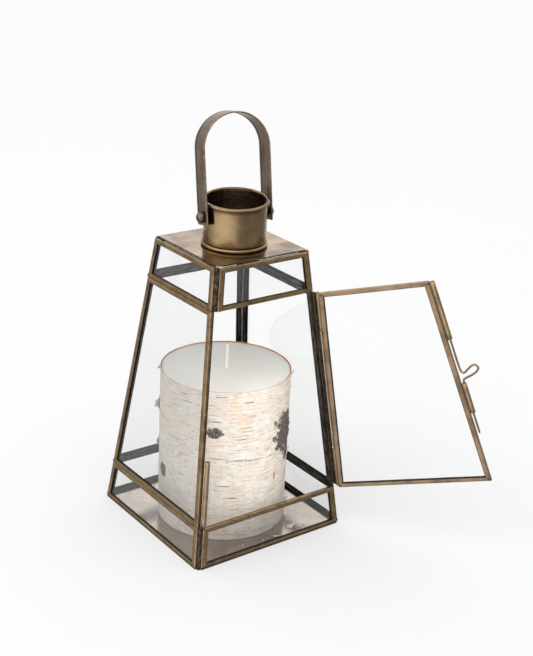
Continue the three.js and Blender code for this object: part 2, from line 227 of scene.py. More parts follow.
def pane_plane(name):
    """A pane's corners in its plane, anticlockwise seen from outside, with the plane's frame and depth."""
    points = points_of(name)
    centre = (points.min(0) + points.max(0)) / 2
    normal = np.linalg.svd(points - points.mean(0))[2][2]
    if normal[:2] @ centre[:2] < 0:
        normal = -normal
    across = np.cross((0, 0, 1), normal)
    across /= np.linalg.norm(across)
    rise = np.cross(normal, across)
    local = (points - centre) @ np.array([across, rise, normal]).T
    order = [(-1, -1), (1, -1), (1, 1), (-1, 1)]
    corners = [local[np.argmax(local[:, :2] @ np.array(way))][:2] for way in order]
    middle = (local[:, 2].min() + local[:, 2].max()) / 2
    frame_of = Matrix([[*row, 0] for row in np.array([across, rise, normal]).T] + [[0, 0, 0, 1]])
    frame_of.translation = Vector(centre + normal * middle)
    return [Vector(c) for c in corners], frame_of, float(np.ptp(local[:, 2]))


def moved_in(corners, depths):
    """The outline with each side moved inward by its own depth: bottom, right, top and left."""
    found = []
    for i, corner in enumerate(corners):
        before = (corner - corners[i - 1]).normalized()
        after = (corners[(i + 1) % 4] - corner).normalized()
        turn = before.x * after.y - before.y * after.x
        found.append(corner - before * depths[i] / turn + after * depths[i - 1] / turn)
    return found


def channel_section(width, depth):
    """Points round a U-section: distance in from the outer edge, height through the wall, rubbed wear that is
    partly a painted highlight on the folds, and grime that is partly painted shade at the lips by the glass.
    """
    half = depth / 2
    lip, slot_half = width - LIP_ROUND, half - LIP
    shares = (0.3, 0.5, 0.7, 0.86, 0.96, 1.0)
    fold = [(FOLD_RADIUS * (1 - math.sin(a)), half - FOLD_RADIUS * (1 - math.cos(a)))
            for a in map(math.radians, (0, 22, 45, 68, 90))]
    # outer faces: slight wear, and grime with painted shade rising towards the lip by the glass
    section = [(width * share - LIP_ROUND, half + CROWN * math.sin(math.pi * share), 0.15,
                max(0.0, share * 6 - 5.3)) for share in reversed(shares)]
    # the folds get full rubbed gold, partly a painted highlight
    section += [(distance, height, 1.0, 0.0) for distance, height in fold]
    section += [(distance, -height, 0.6, 0.0) for distance, height in reversed(fold)]
    section += [(width * share - LIP_ROUND, -half - CROWN * math.sin(math.pi * share), 0.15,
                 max(0.0, share * 9 - 8)) for share in shares]
    # the lips by the glass: grime with painted shade where they meet the pane
    section += [(width, LIP_ROUND - half, 0.0, 1.0), (width, -slot_half - LIP_ROUND, 0.0, 1.0),
                (lip, -slot_half, 0.0, 1.0), (LIP, -slot_half, 0.0, 1.0), (LIP, slot_half, 0.0, 1.0),
                (lip, slot_half, 0.0, 1.0), (width, slot_half + LIP_ROUND, 0.0, 0.8),
                (width, half - LIP_ROUND, 0.0, 0.6)]
    return section


def girth(outline):
    """Distance travelled round a closed outline, at each of its points and back at the first."""
    travelled = [0.0]
    for first, second in zip(outline, outline[1:] + outline[:1]):
        travelled.append(travelled[-1] + math.dist(first[:2], second[:2]))
    return travelled


def skin(lengths, around, first=0, flip=False, cap_place=(0.0, 0.0)):
    """Faces and unrolled places of a closed section carried along a line and capped at both ends.

    lengths has the distance along at each step, and around what girth gives for the section.
    """
    count, last = len(around) - 1, len(lengths) - 1
    faces, uvs = [], []
    for step in range(last):
        for i in range(count):
            ends = [(step, i), (step, i + 1), (step + 1, i + 1), (step + 1, i)]
            if flip:
                ends = ends[:1] + ends[:0:-1]
            faces.append(tuple(first + s * count + k % count for s, k in ends))
            uvs += [(lengths[s], around[k]) for s, k in ends]
    for step, backward in ((0, not flip), (last, flip)):
        cap = tuple(range(first + step * count, first + (step + 1) * count))
        faces.append(cap[::-1] if backward else cap)
    uvs += [cap_place] * (2 * count)
    return faces, uvs


def finished_mesh(name, vertices, faces, uvs=None, marks_and_painted_light=None):
    """A mesh object; uvs has one pair per face corner, and the per-vertex marks hold rubbed wear with painted
    highlight, grime with painted shade, and inside (on the bark, the cut edge).
    """
    mesh = bpy.data.meshes.new(name)
    mesh.from_pydata(vertices, [], faces)
    if uvs is not None:
        layer = mesh.uv_layers.new(name="surface")
        layer.data.foreach_set("uv", np.array(uvs, float).ravel())
    if marks_and_painted_light is not None:
        colors = mesh.color_attributes.new("marks_and_painted_light", "FLOAT_COLOR", "POINT")
        colors.data.foreach_set("color", np.array([(*f, 1.0) for f in marks_and_painted_light], float).ravel())
    mesh.shade_smooth()
    mesh.set_sharp_from_angle(angle=math.radians(50))
    piece = bpy.data.objects.new(name, mesh)
    bpy.context.scene.collection.objects.link(piece)
    return piece


def stands_for(piece, node_name, material, body):
    """Gives a new piece its finish, and puts it in the place of a CAD node."""
    piece.data.materials.append(material)
    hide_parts(node_name)
    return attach(piece, body)


def channel(node_name, body, faces_across, material, inside_black, seed):
    """Four rails; faces_across has their widths along the bottom, right, top and left."""
    corners, place, depth = pane_plane(node_name)
    sections = [channel_section(width, depth) for width in faces_across]
    section = sections[1]
    insets = [moved_in(corners, [points[0] for points in ring]) for ring in zip(*sections)]
    around = girth(section)
    vertices, faces, uvs, marks_and_painted_light = [], [], [], []
    for rail in range(4):
        length = (corners[(rail + 1) % 4] - corners[rail]).length
        steps = max(4, round(length / RAIL_STEP))
        base = len(vertices)
        for step in range(steps + 1):
            for (distance, height, wear_and_highlight, grime_and_shade), outline in zip(section, insets):
                start, end = outline[rail], outline[(rail + 1) % 4]
                way = (end - start).normalized()
                start = start + way * MITRE_GAP
                end = end - way * MITRE_GAP
                spot = start.lerp(end, step / steps)
                inward = Vector((-way.y, way.x))
                key = Vector((step * 0.35 + rail * 9, seed * 3.1, distance * 90))
                free = min(1.0, step, steps - step)
                spot = spot + inward * (noise.noise(key) * WAVER * distance / faces_across[1])
                lifted = height + noise.noise(key + Vector((50, 0, 0))) * WAVER * free * 0.6
                vertices.append(place @ Vector((spot.x, spot.y, lifted)))
                marks_and_painted_light.append((wear_and_highlight, grime_and_shade, inside_black if height < 0.2 * MM else 0.0))
        # each rail and channel has its own stretch of the patina
        lengths = [step / steps * length + seed * 0.37 + rail * 0.21 for step in range(steps + 1)]
        rail_faces, rail_uvs = skin(lengths, around, base, cap_place=(seed * 0.37, 0.0))
        faces += rail_faces
        uvs += rail_uvs
    piece = finished_mesh(node_name + "_brass", vertices, faces, uvs, marks_and_painted_light)
    return stands_for(piece, node_name, material, body)


def painted_light_and_wear_group():
    """Rubbed gold on edges, partly a painted highlight; black in the grooves, partly painted shade with
    grime; and the inside of the case coloured near-black, mottled towards a second colour that on the
    channels is a painted grey reflection of the glass.
    """
    labels = [("Color", "Color"), ("Roughness", "Float"), ("Vector", "Vector"), ("Wear_and_highlight", "Float"),
              ("Grime_and_shade", "Float"), ("Inside", "Float"), ("Rubbed_and_highlight", "Color"), ("Black", "Color"),
              ("Bloom_and_sheen", "Color")]
    results = [("Color", "Color"), ("Roughness", "Float")]
    group, given, result = new_group("rubbed_lit_and_shaded", labels, results)
    broken = cloud(group, given["Vector"], 260.0, 5.0, 0.65)
    wear_and_light = cloud(group, given["Vector"], 45.0, 3.0)
    # rubbed gold on the edges, partly a painted highlight
    rubbed_and_highlight = maths(group, "MULTIPLY", given["Wear_and_highlight"], between(group, broken, 0.42, 0.68))
    rubbed_and_highlight = maths(group, "MULTIPLY", rubbed_and_highlight, between(group, wear_and_light, 0.38, 0.6, 0.15, 0.85))
    color = mixed(group, rubbed_and_highlight, given["Color"], given["Rubbed_and_highlight"])
    # black in the grooves and by the glass, partly painted shade with grime
    grime_and_shade_mask = maths(group, "MULTIPLY", given["Grime_and_shade"], between(group, broken, 0.2, 0.5, 0.6, 0.95))
    haze = cloud(group, stretched(group, given["Vector"], 1.0, 5.0), 85.0, 5.0, 0.65)
    # near-black inside, mottled towards a second colour, which on the channels is a painted grey reflection
    # of the glass
    lining = mixed(group, between(group, haze, 0.38, 0.66), given["Black"], given["Bloom_and_sheen"])
    color = mixed(group, given["Inside"], color, lining)
    black = maths(group, "MAXIMUM", grime_and_shade_mask, given["Inside"])
    group.links.new(mixed(group, grime_and_shade_mask, color, given["Black"]), result["Color"])
    dull = maths(group, "ADD", given["Roughness"], maths(group, "MULTIPLY", black, 0.15))
    group.links.new(dull, result["Roughness"])
    return group


rubbed_lit_and_shaded = painted_light_and_wear_group()


# the default grey for the mottling inside is a painted reflection of the glass, used on the channels
def brass_material(name, tone, shade, glint, rubbed_and_highlight, lumps=0.15, cloud_scale=70.0, streak=26.0, stretch=11.0,
                   black=(0.028, 0.025, 0.022, 1), bloom_and_sheen=(0.15, 0.14, 0.13, 1), gloss=0.14):
    made, tree, shader = new_material(name, Metallic=1.0)
    place = node(tree, "UVMap", uv_map="surface").outputs["UV"]
    given = {"Vector": place, "Tone": tone, "Shade": shade, "Glint": glint,
             "Cloud": cloud_scale, "Streak": streak, "Stretch": stretch}
    found = use_group(tree, browned_brass, given)
    marks = node(tree, "Attribute", attribute_name="marks_and_painted_light").outputs["Color"]
    marks = node(tree, "SeparateColor", {0: marks}).outputs
    given = {"Color": found["Color"], "Roughness": found["Roughness"], "Vector": place, "Wear_and_highlight": marks[0],
             "Grime_and_shade": marks[1], "Inside": marks[2], "Rubbed_and_highlight": rubbed_and_highlight, "Black": black, "Bloom_and_sheen": bloom_and_sheen}
    wear_and_light = use_group(tree, rubbed_lit_and_shaded, given)
    feed(tree, shader, wear_and_light["Color"], maths(tree, "ADD", wear_and_light["Roughness"], gloss))
    bump(tree, shader, found["Height"], lumps, 0.0003)
    return made


channel_brass = brass_material("channel_brass", (0.36, 0.243, 0.122, 1), (0.19, 0.128, 0.075, 1),
                               (0.54, 0.38, 0.19, 1), (0.55, 0.39, 0.19, 1), cloud_scale=95.0)
door_brass = brass_material("door_brass", (0.33, 0.22, 0.135, 1), (0.2, 0.14, 0.092, 1),
                            (0.43, 0.3, 0.18, 1), (0.46, 0.32, 0.18, 1))
BANDS = {"low": ("front", "right", "back", "left"), "mid": ("right", "back", "left"),
         "top": ("front", "right", "back", "left")}
STILE_FACE = 4.5 * MM
RAIL_FACE = 3.7 * MM
BOTTOM_FACE = 2.9 * MM
DOOR_STILE_FACE = 3.9 * MM
DOOR_RAIL_FACE = 3.6 * MM
channel_number = 0
for band, band_sides in BANDS.items():
    widths = [BOTTOM_FACE if band == "low" else RAIL_FACE, STILE_FACE, RAIL_FACE, STILE_FACE]
    for side in band_sides:
        channel_number += 1
        channel(f"channel_{band}_{side}", "case", widths, channel_brass, 1.0, channel_number)
channel("channel_door", "door", [DOOR_RAIL_FACE, DOOR_STILE_FACE] * 2, door_brass, 0.0, 20)


# ---- glass ----
# Flat panes of clean sheet glass, cut to fit each frame and held loose in its channels. The glass
# is clear, with the faintest grey tint.
def glass_material():
    made, tree, shader = new_material("sheet_glass", Roughness=0.0, IOR=1.45, Transmission_Weight=1.0)
    place = on_piece(tree)
    smear = cloud(tree, place, 30.0, 3.0)
    tint = mixed(tree, smear, (0.965, 0.975, 0.975, 1), (0.985, 0.99, 0.99, 1))
    feed(tree, shader, tint)
    return made


sheet_glass = glass_material()
for name in frame["nodes"]:
    if name.startswith("glass_"):
        carried(name, sheet_glass)


# ---- solder seams ----
# The corner between two walls is filled with soft solder, run in by hand and blackened: an uneven
# ridge in a dark groove outside, and a thin bright bead where it has come through to the inside.
def solder_material(name, low, high, rough):
    made, tree, shader = new_material(name, Metallic=0.85)
    place = on_piece(tree)
    lumps = cloud(tree, place, 420.0, 5.0, 0.65)
    feed(tree, shader, mixed(tree, between(tree, lumps, 0.42, 0.68), low, high),
         between(tree, lumps, 0.3, 0.7, rough, rough - 0.18))
    bump(tree, shader, lumps, 0.5, 0.0004)
    return made


black_solder = solder_material("black_solder", (0.03, 0.025, 0.022, 1), (0.16, 0.125, 0.09, 1), 0.55)
bright_solder = solder_material("bright_solder", (0.38, 0.36, 0.33, 1), (0.75, 0.73, 0.69, 1), 0.42)


def sweep(path, section_at):
    """Vertices and faces of a section carried along a path; section_at gives the points at each step."""
    rings = [section_at(step) for step in range(len(path))]
    vertices = [point for ring in rings for point in ring]
    return vertices, skin(range(len(path)), range(len(rings[0]) + 1))[0]


BASE_HALF = 70.8 * MM
ROOF_HALF = 43.75 * MM
ROOF_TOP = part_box("roof_plate")[1].z
CORNER_SIGNS = {"front_left": (-1, -1), "front_right": (1, -1), "back_right": (1, 1), "back_left": (-1, 1)}


def half_at(height):
    """Half the case's width at a height above the table."""
    return BASE_HALF + (ROOF_HALF - BASE_HALF) * height / ROOF_TOP


def corner_seam(name):
    """One run of solder up a corner, from a CAD seam's foot to its top."""
    sign = Vector(CORNER_SIGNS[name.split("_", 2)[2]])
    low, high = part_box(name)[0].z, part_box(name)[1].z
    inward = Vector((-sign.x, -sign.y, 0)).normalized()
    across = Vector((inward.y, -inward.x, 0))
    steps = max(8, round((high - low) / (1.6 * MM)))
    heights = [low + (high - low) * i / steps for i in range(steps + 1)]
    shape = [(1.55, 3.3), (1.3, 3.5), (0.95, 3.4), (0.6, 3.1), (0.3, 2.9), (0, 2.85),
             (-0.3, 2.9), (-0.6, 3.1), (-0.95, 3.4), (-1.3, 3.5), (-1.55, 3.3), (-0.35, 4.5), (0.35, 4.5)]

    def ring(step):
        z = heights[step]
        corner = Vector((sign.x * half_at(z), sign.y * half_at(z), z))
        points = []
        for side, depth in shape:
            lump = noise.noise(Vector((side * 1.3, z * 260, sign.x + 3 * sign.y))) * 0.42
            ridge = max(0.0, 1 - abs(side) / 1.1)
            shift = lump * ridge + 0.1 * noise.noise(Vector((side * 3, z * 900, 7.0)))
            drift = 0.22 * noise.noise(Vector((z * 120, sign.x, sign.y))) * ridge
            points.append(corner + inward * (depth + shift) * MM + across * (side + drift) * MM)
        return points

    piece = finished_mesh(name + "_solder", *sweep(heights, ring))
    return stands_for(piece, name, black_solder, "case")


for name in list(frame["nodes"]):
    if name.startswith("seam_"):
        corner_seam(name)


def bead(path, radius, seed, sides=8):
    """A lumpy run of solder along a straight path."""
    way = (path[-1] - path[0]).normalized()
    aside = way.orthogonal().normalized()
    upright = way.cross(aside)

    def ring(step):
        ends = min(1.0, (min(step, len(path) - 1 - step) + 0.25) / 1.5)
        points = []
        for i in range(sides):
            angle = 2 * math.pi * i / sides
            size = radius * ends * (1 + 0.45 * noise.noise(Vector((step * 0.6, seed, math.cos(angle)))))
            points.append(path[step] + (aside * math.cos(angle) + upright * math.sin(angle)) * size)
        return points

    return sweep(path, ring)


def joined(name, parts, material, body):
    """Several runs or lumps as one piece."""
    vertices, faces = [], []
    for part_vertices, part_faces in parts:
        start = len(vertices)
        vertices += part_vertices
        faces += [tuple(start + i for i in face) for face in part_faces]
    piece = finished_mesh(name, vertices, faces)
    piece.data.materials.append(material)
    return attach(piece, body)


def straight(start, end, step):
    """Spots at about one step apart from start to end."""
    count = max(3, round((end - start).length / step))
    return [start.lerp(end, i / count) for i in range(count + 1)]


def inner_corner(sign, height, inset):
    """A spot on a corner of the case, moved in from both of its walls."""
    reach = half_at(height) - inset
    return Vector((sign[0] * reach, sign[1] * reach, height))


LOW_RAIL, HIGH_RAIL = 33.3, 199.3  # where the bands meet, in mm above the table
inner_beads = []
for number, (corner_name, sign) in enumerate(CORNER_SIGNS.items()):
    beside_the_door = [] if corner_name.startswith("front") else [(36, 197)]
    for low, high in [(4, 31)] + beside_the_door + [(202, 229)]:
        ends = [inner_corner(sign, z * MM, 4.15 * MM) for z in (low, high)]
        inner_beads.append(bead(straight(*ends, 2.5 * MM), 0.6 * MM, number + low))
joined("inner_solder_beads", inner_beads, bright_solder, "case")


corner_signs = list(CORNER_SIGNS.values())
walls = list(zip(corner_signs, corner_signs[1:] + corner_signs[:1]))
joint_runs = []
for number, (first, second) in enumerate(walls):
    if number == 0:  # the front wall's joints stay bare, so that the door can close
        continue
    for height in (LOW_RAIL, HIGH_RAIL):
        reach = half_at(height * MM) - 0.35 * MM
        ends = []
        for sign, other in ((first, second), (second, first)):
            flat = Vector(((sign[0] + other[0]) / 2 * reach, (sign[1] + other[1]) / 2 * reach, height * MM))
            along = Vector(((sign[0] - other[0]) / 2, (sign[1] - other[1]) / 2, 0))
            ends.append(flat + along * (half_at(height * MM) - 4.2 * MM))
        joint_runs.append(bead(straight(*ends, 1.6 * MM), 0.3 * MM, number + height))
joined("joint_runs", joint_runs, black_solder, "case")


def lump(centre, size, seed, turn=None):
    """A frozen blob of solder."""
    ball = bmesh.new()
    bmesh.ops.create_icosphere(ball, subdivisions=3, radius=1.0)
    turn = turn or Matrix.Identity(3)
    vertices = []
    for v in ball.verts:
        swell = 1 + 0.28 * noise.noise(v.co * 1.6 + Vector((seed * 5.3, 0, 0)))
        vertices.append(centre + turn @ Vector([c * s * swell for c, s in zip(v.co, size)]))
    faces = [tuple(v.index for v in face.verts) for face in ball.faces]
    ball.free()
    return vertices, faces


roof_lumps, corner_lumps = [], []
for number, sign in enumerate(CORNER_SIGNS.values()):
    spot = inner_corner(sign, ROOF_TOP - 0.35 * MM, 2.9 * MM)
    roof_lumps.append(lump(spot, (1.35 * MM, 1.2 * MM, 0.6 * MM), number))
    for z in (LOW_RAIL, HIGH_RAIL):
        if sign != CORNER_SIGNS["front_right"]:
            # the drop above the doorway's closing side sits higher, clear of the closed door's guide
            raised = 2.2 if sign == CORNER_SIGNS["front_left"] and z == HIGH_RAIL else 0.0
            spot = inner_corner(sign, (z + raised) * MM, 2.15 * MM)
            corner_lumps.append(lump(spot, (1.15 * MM, 1.15 * MM, 1.8 * MM), number + z))
    spot = inner_corner(sign, 1.7 * MM, 2.3 * MM)
    corner_lumps.append(lump(spot, (1.0 * MM, 1.0 * MM, 1.3 * MM), number + 40))
joined("roof_corner_solder", roof_lumps, bright_solder, "case")
joined("joint_solder", corner_lumps, black_solder, "case")

roof_runs = []
for number, signs in enumerate(walls):
    ends = [inner_corner(sign, ROOF_TOP - 0.65 * MM, 2.6 * MM) for sign in signs]
    inner_ends = [ends[0].lerp(ends[1], 0.045), ends[1].lerp(ends[0], 0.045)]
    roof_runs.append(bead(straight(*inner_ends, 2 * MM), 0.45 * MM, number + 90))
joined("roof_edge_solder", roof_runs, black_solder, "case")


# ---- collar ----
# A chimney collar rolled from sheet brass, beaded at the foot, its rim turned outward, lapped and
# soldered at the back. It is polished more than the rest, and its inside is left dark.
def lathe(name, profile, centre, segments, turn=None, ripple=None, marks_and_painted_light=None, closed=True):
    """A turned piece: profile is a list of (radius, height) going round; points on the axis close it."""
    turn = turn or Matrix.Identity(3)
    vertices, faces, uvs, marks = [], [], [], []
    rings = []
    for row, (radius, height) in enumerate(profile):
        if radius < 1e-7:
            rings.append([len(vertices)] * segments)
            vertices.append(centre + turn @ Vector((0, 0, height)))
            marks.append(marks_and_painted_light[row] if marks_and_painted_light else (0, 0, 0))
            continue
        ring = []
        for i in range(segments):
            angle = 2 * math.pi * i / segments
            r = radius + (ripple(angle, height, radius) if ripple else 0.0)
            ring.append(len(vertices))
            vertices.append(centre + turn @ Vector((r * math.cos(angle), r * math.sin(angle), height)))
            marks.append(marks_and_painted_light[row] if marks_and_painted_light else (0, 0, 0))
        rings.append(ring)
    travelled = girth(profile)
    widest = max(radius for radius, height in profile)
    pairs = list(zip(range(len(rings)), list(range(1, len(rings))) + [0]))
    if not closed:
        pairs = pairs[:-1]
    for row, after in pairs:
        for i in range(segments):
            j = (i + 1) % segments
            corners = [(rings[row][i], i, row), (rings[row][j], i + 1, row),
                       (rings[after][j], i + 1, row + 1), (rings[after][i], i, row + 1)]
            kept = []
            for corner in corners:
                if corner[0] not in [k[0] for k in kept]:
                    kept.append(corner)
            if len(kept) < 3:
                continue
            faces.append(tuple(k[0] for k in kept))
            uvs += [(k[1] / segments * 2 * math.pi * widest, travelled[k[2]]) for k in kept]
    return finished_mesh(name, vertices, faces, uvs, marks)


COLLAR_RADIUS = 24.3 * MM
COLLAR_WALL = 0.8 * MM
RIM_RADIUS = 1.3 * MM


def foot_of(name):
    """The middle of the underside of a CAD node."""
    low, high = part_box(name)
    return Vector(((low.x + high.x) / 2, (low.y + high.y) / 2, low.z))


collar_foot = foot_of("collar")
COLLAR_RISE = 34.6 * MM
RIM_TILT = 0.075  # the rim was cut a little aslant: rise for each unit across
RIM_TILT_WAY = math.radians(52.7)
LAP_ANGLE = math.radians(76)


def arc_points(centre, radius, start, end, steps):
    angles = [math.radians(start + (end - start) * i / steps) for i in range(steps + 1)]
    return [(centre[0] + radius * math.cos(a), centre[1] + radius * math.sin(a)) for a in angles]


def collar_ripple(angle, height, radius):
    """Hand-rolled, so not quite round, with a lapped edge at the back."""
    waver = 0.12 * MM * noise.noise(Vector((math.cos(angle) * 1.5, math.sin(angle) * 1.5, height * 45)))
    from_lap = (angle - LAP_ANGLE + math.pi) % (2 * math.pi) - math.pi
    lap = 0.35 * MM * math.exp(-(max(0.0, from_lap) * 9) ** 2) if from_lap > 0 else 0.0
    return waver + lap


def collar():
    """The shell: the foot bead, the outside wall, the rolled rim and the inside wall, then the tilt."""
    outer, inner = COLLAR_RADIUS, COLLAR_RADIUS - COLLAR_WALL
    foot = arc_points((outer + 0.1 * MM, 1.3 * MM), RIM_RADIUS, -90, 105, 12)
    wall = [(outer, 2.9 * MM + (COLLAR_RISE - 5.2 * MM) * i / 14) for i in range(15)]
    rim = arc_points((outer, COLLAR_RISE), RIM_RADIUS, -80, 205, 16)
    back = [(inner, COLLAR_RISE - 1.4 * MM - (COLLAR_RISE - 1.8 * MM) * i / 10) for i in range(11)]
    profile = [(inner, 0.0)] + foot + wall + rim + back
    # wear with painted highlight on the bead and rim, grime with painted shade in the creases, and inside,
    # down the same profile
    marks_and_painted_light = [(0, 1, 1)]
    marks_and_painted_light += [(1.0 if 2 < i < 9 else 0.0, 1.0 if i > 10 or i < 2 else 0.0, 0) for i in range(len(foot))]
    marks_and_painted_light += [(0, 0.8 if i in (0, 14) else 0.0, 0) for i in range(len(wall))]
    marks_and_painted_light += [(1.0 if 3 < i < 13 else 0.2, 1.0 if i < 2 else 0.0, 0.0 if i < 13 else 0.7)
               for i in range(len(rim))]
    marks_and_painted_light += [(0, 0, 1.0)] * len(back)
    piece = lathe("collar_shell", profile, collar_foot, 144, ripple=collar_ripple, marks_and_painted_light=marks_and_painted_light)
    for vertex in piece.data.vertices:
        spot = vertex.co - collar_foot
        across = spot.x * math.cos(RIM_TILT_WAY) + spot.y * math.sin(RIM_TILT_WAY)
        vertex.co.z += RIM_TILT * max(0.0, spot.z - RIM_RADIUS) / COLLAR_RISE * across
    return piece


collar_brass = brass_material("collar_brass", (0.35, 0.24, 0.125, 1), (0.17, 0.108, 0.062, 1),
                              (0.50, 0.37, 0.19, 1), (0.34, 0.255, 0.165, 1), lumps=0.06, cloud_scale=24.0,
                              streak=17.0, stretch=0.6, black=(0.085, 0.055, 0.036, 1),
                              bloom_and_sheen=(0.19, 0.125, 0.08, 1), gloss=-0.02)
stands_for(collar(), "collar", collar_brass, "case")


# ---- handle rivets ----
# Two brass rivets with hand-hammered heads. Their shanks go through the collar and carry the strap,
# and their tails are closed over inside.
handle_joint = [j for j in frame["joints"] if j["name"] == "handle_hinge"][0]
PIVOT_LINE = Vector(handle_joint["axis"]).normalized()
PIVOT = Vector(handle_joint["pos_m"])
STRAP_RADIUS = 26.8 * MM
STRAP_THICK = 1.2 * MM
RIVET_HEAD = 4.4 * MM
HEAD_RISE = 3.9 * MM
SHANK = 1.6 * MM
TAIL = 2.6 * MM


def rivet_material():
    made, tree, shader = new_material("rivet_brass", Metallic=1.0)
    place = on_piece(tree)
    given = {"Vector": place, "Tone": (0.17, 0.12, 0.082, 1), "Shade": (0.07, 0.05, 0.036, 1),
             "Glint": (0.36, 0.25, 0.16, 1), "Cloud": 160.0, "Streak": 240.0, "Stretch": 1.0}
    found = use_group(tree, browned_brass, given)
    feed(tree, shader, found["Color"], maths(tree, "ADD", found["Roughness"], 0.12))
    bump(tree, shader, found["Height"], 0.4, 0.0005)
    return made


rivet_brass = rivet_material()


def turned_to(axis):
    """The turn that stands a lathe piece along an axis."""
    aside = axis.orthogonal().normalized()
    return Matrix((aside, axis.cross(aside), axis)).transposed()


def rivet(name, side):
    """A rivet through one leg of the strap, its head outward; side is -1 or 1 along the pivot line."""
    inner_wall = COLLAR_RADIUS - COLLAR_WALL
    strap_in = STRAP_RADIUS - STRAP_THICK / 2 - 0.3 * MM
    strap_out = STRAP_RADIUS + STRAP_THICK / 2 + 0.15 * MM
    washer = 3 * MM
    dome = [(RIVET_HEAD * math.cos(a), strap_out + 0.55 * MM + HEAD_RISE * math.sin(a))
            for a in map(math.radians, range(0, 91, 10))]
    profile = [(0, inner_wall - 1.9 * MM), (1.5 * MM, inner_wall - 1.7 * MM), (TAIL, inner_wall - 0.9 * MM),
               (TAIL, inner_wall - 0.5 * MM), (SHANK, inner_wall - 0.45 * MM),
               (SHANK, COLLAR_RADIUS + 0.4 * MM), (washer, COLLAR_RADIUS + 0.45 * MM), (washer, strap_in),
               (SHANK, strap_in), (SHANK, strap_out), (RIVET_HEAD - 0.2 * MM, strap_out)]
    profile += dome[:-1] + [(0, dome[-1][1])]

    def hammered(angle, height, radius):
        spot = Vector((math.cos(angle) * 1.4, math.sin(angle) * 1.4, height * 500 + side * 4))
        return noise.noise(spot) * 0.55 * MM * min(1.0, radius / RIVET_HEAD) if height > strap_out else 0.0

    turn = turned_to(PIVOT_LINE * side)
    piece = lathe(name + "_hammered", profile, PIVOT, 40, turn=turn, ripple=hammered, closed=False)
    return stands_for(piece, name, rivet_brass, "case")


rivet("rivet_left", -1)
rivet("rivet_right", 1)


# ---- handle ----
# One strap of brass sheet with both long edges folded over, bent to a hoop and hung on the rivets.
# Its faces are browned. The folded edges are rubbed golden, partly a painted highlight, and the crease at
# each hem is darkened with painted shade and grime.
STRAP_WIDTH = 18 * MM
LEG = 49.8 * MM
LEG_TAIL = 6.2 * MM
HEM = 2.6 * MM
HEM_STEP = 0.16 * MM


def strap():
    """The hoop; the line has a spot and its outward way, and the section has width, thickness and marks."""
    middle = Vector(points_of("handle_strap").mean(0))
    upward = middle - PIVOT
    upward = (upward - PIVOT_LINE * upward.dot(PIVOT_LINE)).normalized()
    sideways = PIVOT_LINE.cross(upward)
    leg_steps, bow_steps = 20, 48
    levels = [-LEG_TAIL + (LEG + LEG_TAIL) * i / leg_steps for i in range(leg_steps + 1)]
    line = [(STRAP_RADIUS, level, 1.0, 0.0) for level in levels]
    for i in range(1, bow_steps):
        a = math.pi * i / bow_steps
        line.append((STRAP_RADIUS * math.cos(a), LEG + STRAP_RADIUS * math.sin(a), math.cos(a), math.sin(a)))
    line += [(-STRAP_RADIUS, level, -1.0, 0.0) for level in reversed(levels)]
    half, thin = STRAP_WIDTH / 2, STRAP_THICK / 2
    sunk, fold = thin - HEM_STEP, half - HEM
    side = [(share * fold, sunk, 0.0, 0.0) for share in (0.0, 0.45, 0.8)]
    # the hem's crease gets grime with painted shade; the folded hem is rubbed gold, partly a painted
    # highlight
    side += [(fold - 0.2 * MM, sunk, 0.0, 1.0), (fold + 0.15 * MM, thin, 0.5, 0.0),
             (half - HEM / 2, thin, 0.35, 0.0)]
    side += [(half - thin + thin * math.cos(a), thin * math.sin(a), 1.0, 0.0)
             for a in map(math.radians, (90, 60, 30, 0))]
    upper = [(-w, t, r, g) for w, t, r, g in reversed(side[1:])] + side
    lower = [(w, -t, r, g) for w, t, r, g in reversed(upper[1:-1])]
    section = upper + lower
    vertices, marks_and_painted_light = [], []
    travelled = 0.0
    lengths = []
    for step, (px, py, nx, ny) in enumerate(line):
        if step:
            travelled += math.dist(line[step - 1][:2], (px, py))
        lengths.append(travelled)
        end = min(step, len(line) - 1 - step)
        for w, t, rubbed_and_highlight, grime_and_shade in section:
            waver = 0.1 * MM * noise.noise(Vector((travelled * 30, w * 60, 2.0)))
            narrow = 1.0 - (0.06 if end == 0 else 0.0)
            out = t + waver * (0.4 if abs(py) < 8 * MM else 1.0)
            spot = PIVOT + PIVOT_LINE * (px + nx * out) + upward * (py + ny * out) + sideways * (w * narrow)
            vertices.append(spot)
            marks_and_painted_light.append((rubbed_and_highlight if end else 1.0, grime_and_shade, 0.0))
    faces, uvs = skin(lengths, girth(section), flip=True)
    return finished_mesh("handle_hoop", vertices, faces, uvs, marks_and_painted_light)


strap_brass = brass_material("strap_brass", (0.245, 0.185, 0.13, 1), (0.15, 0.108, 0.074, 1),
                             (0.35, 0.262, 0.17, 1), (0.5, 0.345, 0.175, 1), lumps=0.08, cloud_scale=45.0,
                             streak=16.0, stretch=14.0, gloss=0.12)
stands_for(strap(), "handle_strap", strap_brass, "handle")


# ---- hinge and latch tubes ----
# Short lengths of drawn brass tube, cut square and soldered on edge: two knuckles turn on the hinge
# rod, two guides hold the latch wire, and a keeper on the case takes its tip.
def tube_axis(name):
    """Ends, radius and bore of a straight round CAD piece."""
    points = points_of(name)
    middle = points.mean(0)
    way = np.linalg.svd(points - middle)[2][0]
    if way[2] < 0:
        way = -way
    along = (points - middle) @ way
    out = np.linalg.norm(points - middle - np.outer(along, way), axis=1)
    low, high = middle + way * along.min(), middle + way * along.max()
    bore = out[out > 0.05 * MM].min()
    return Vector(low), Vector(high), float(out.max()), float(bore)


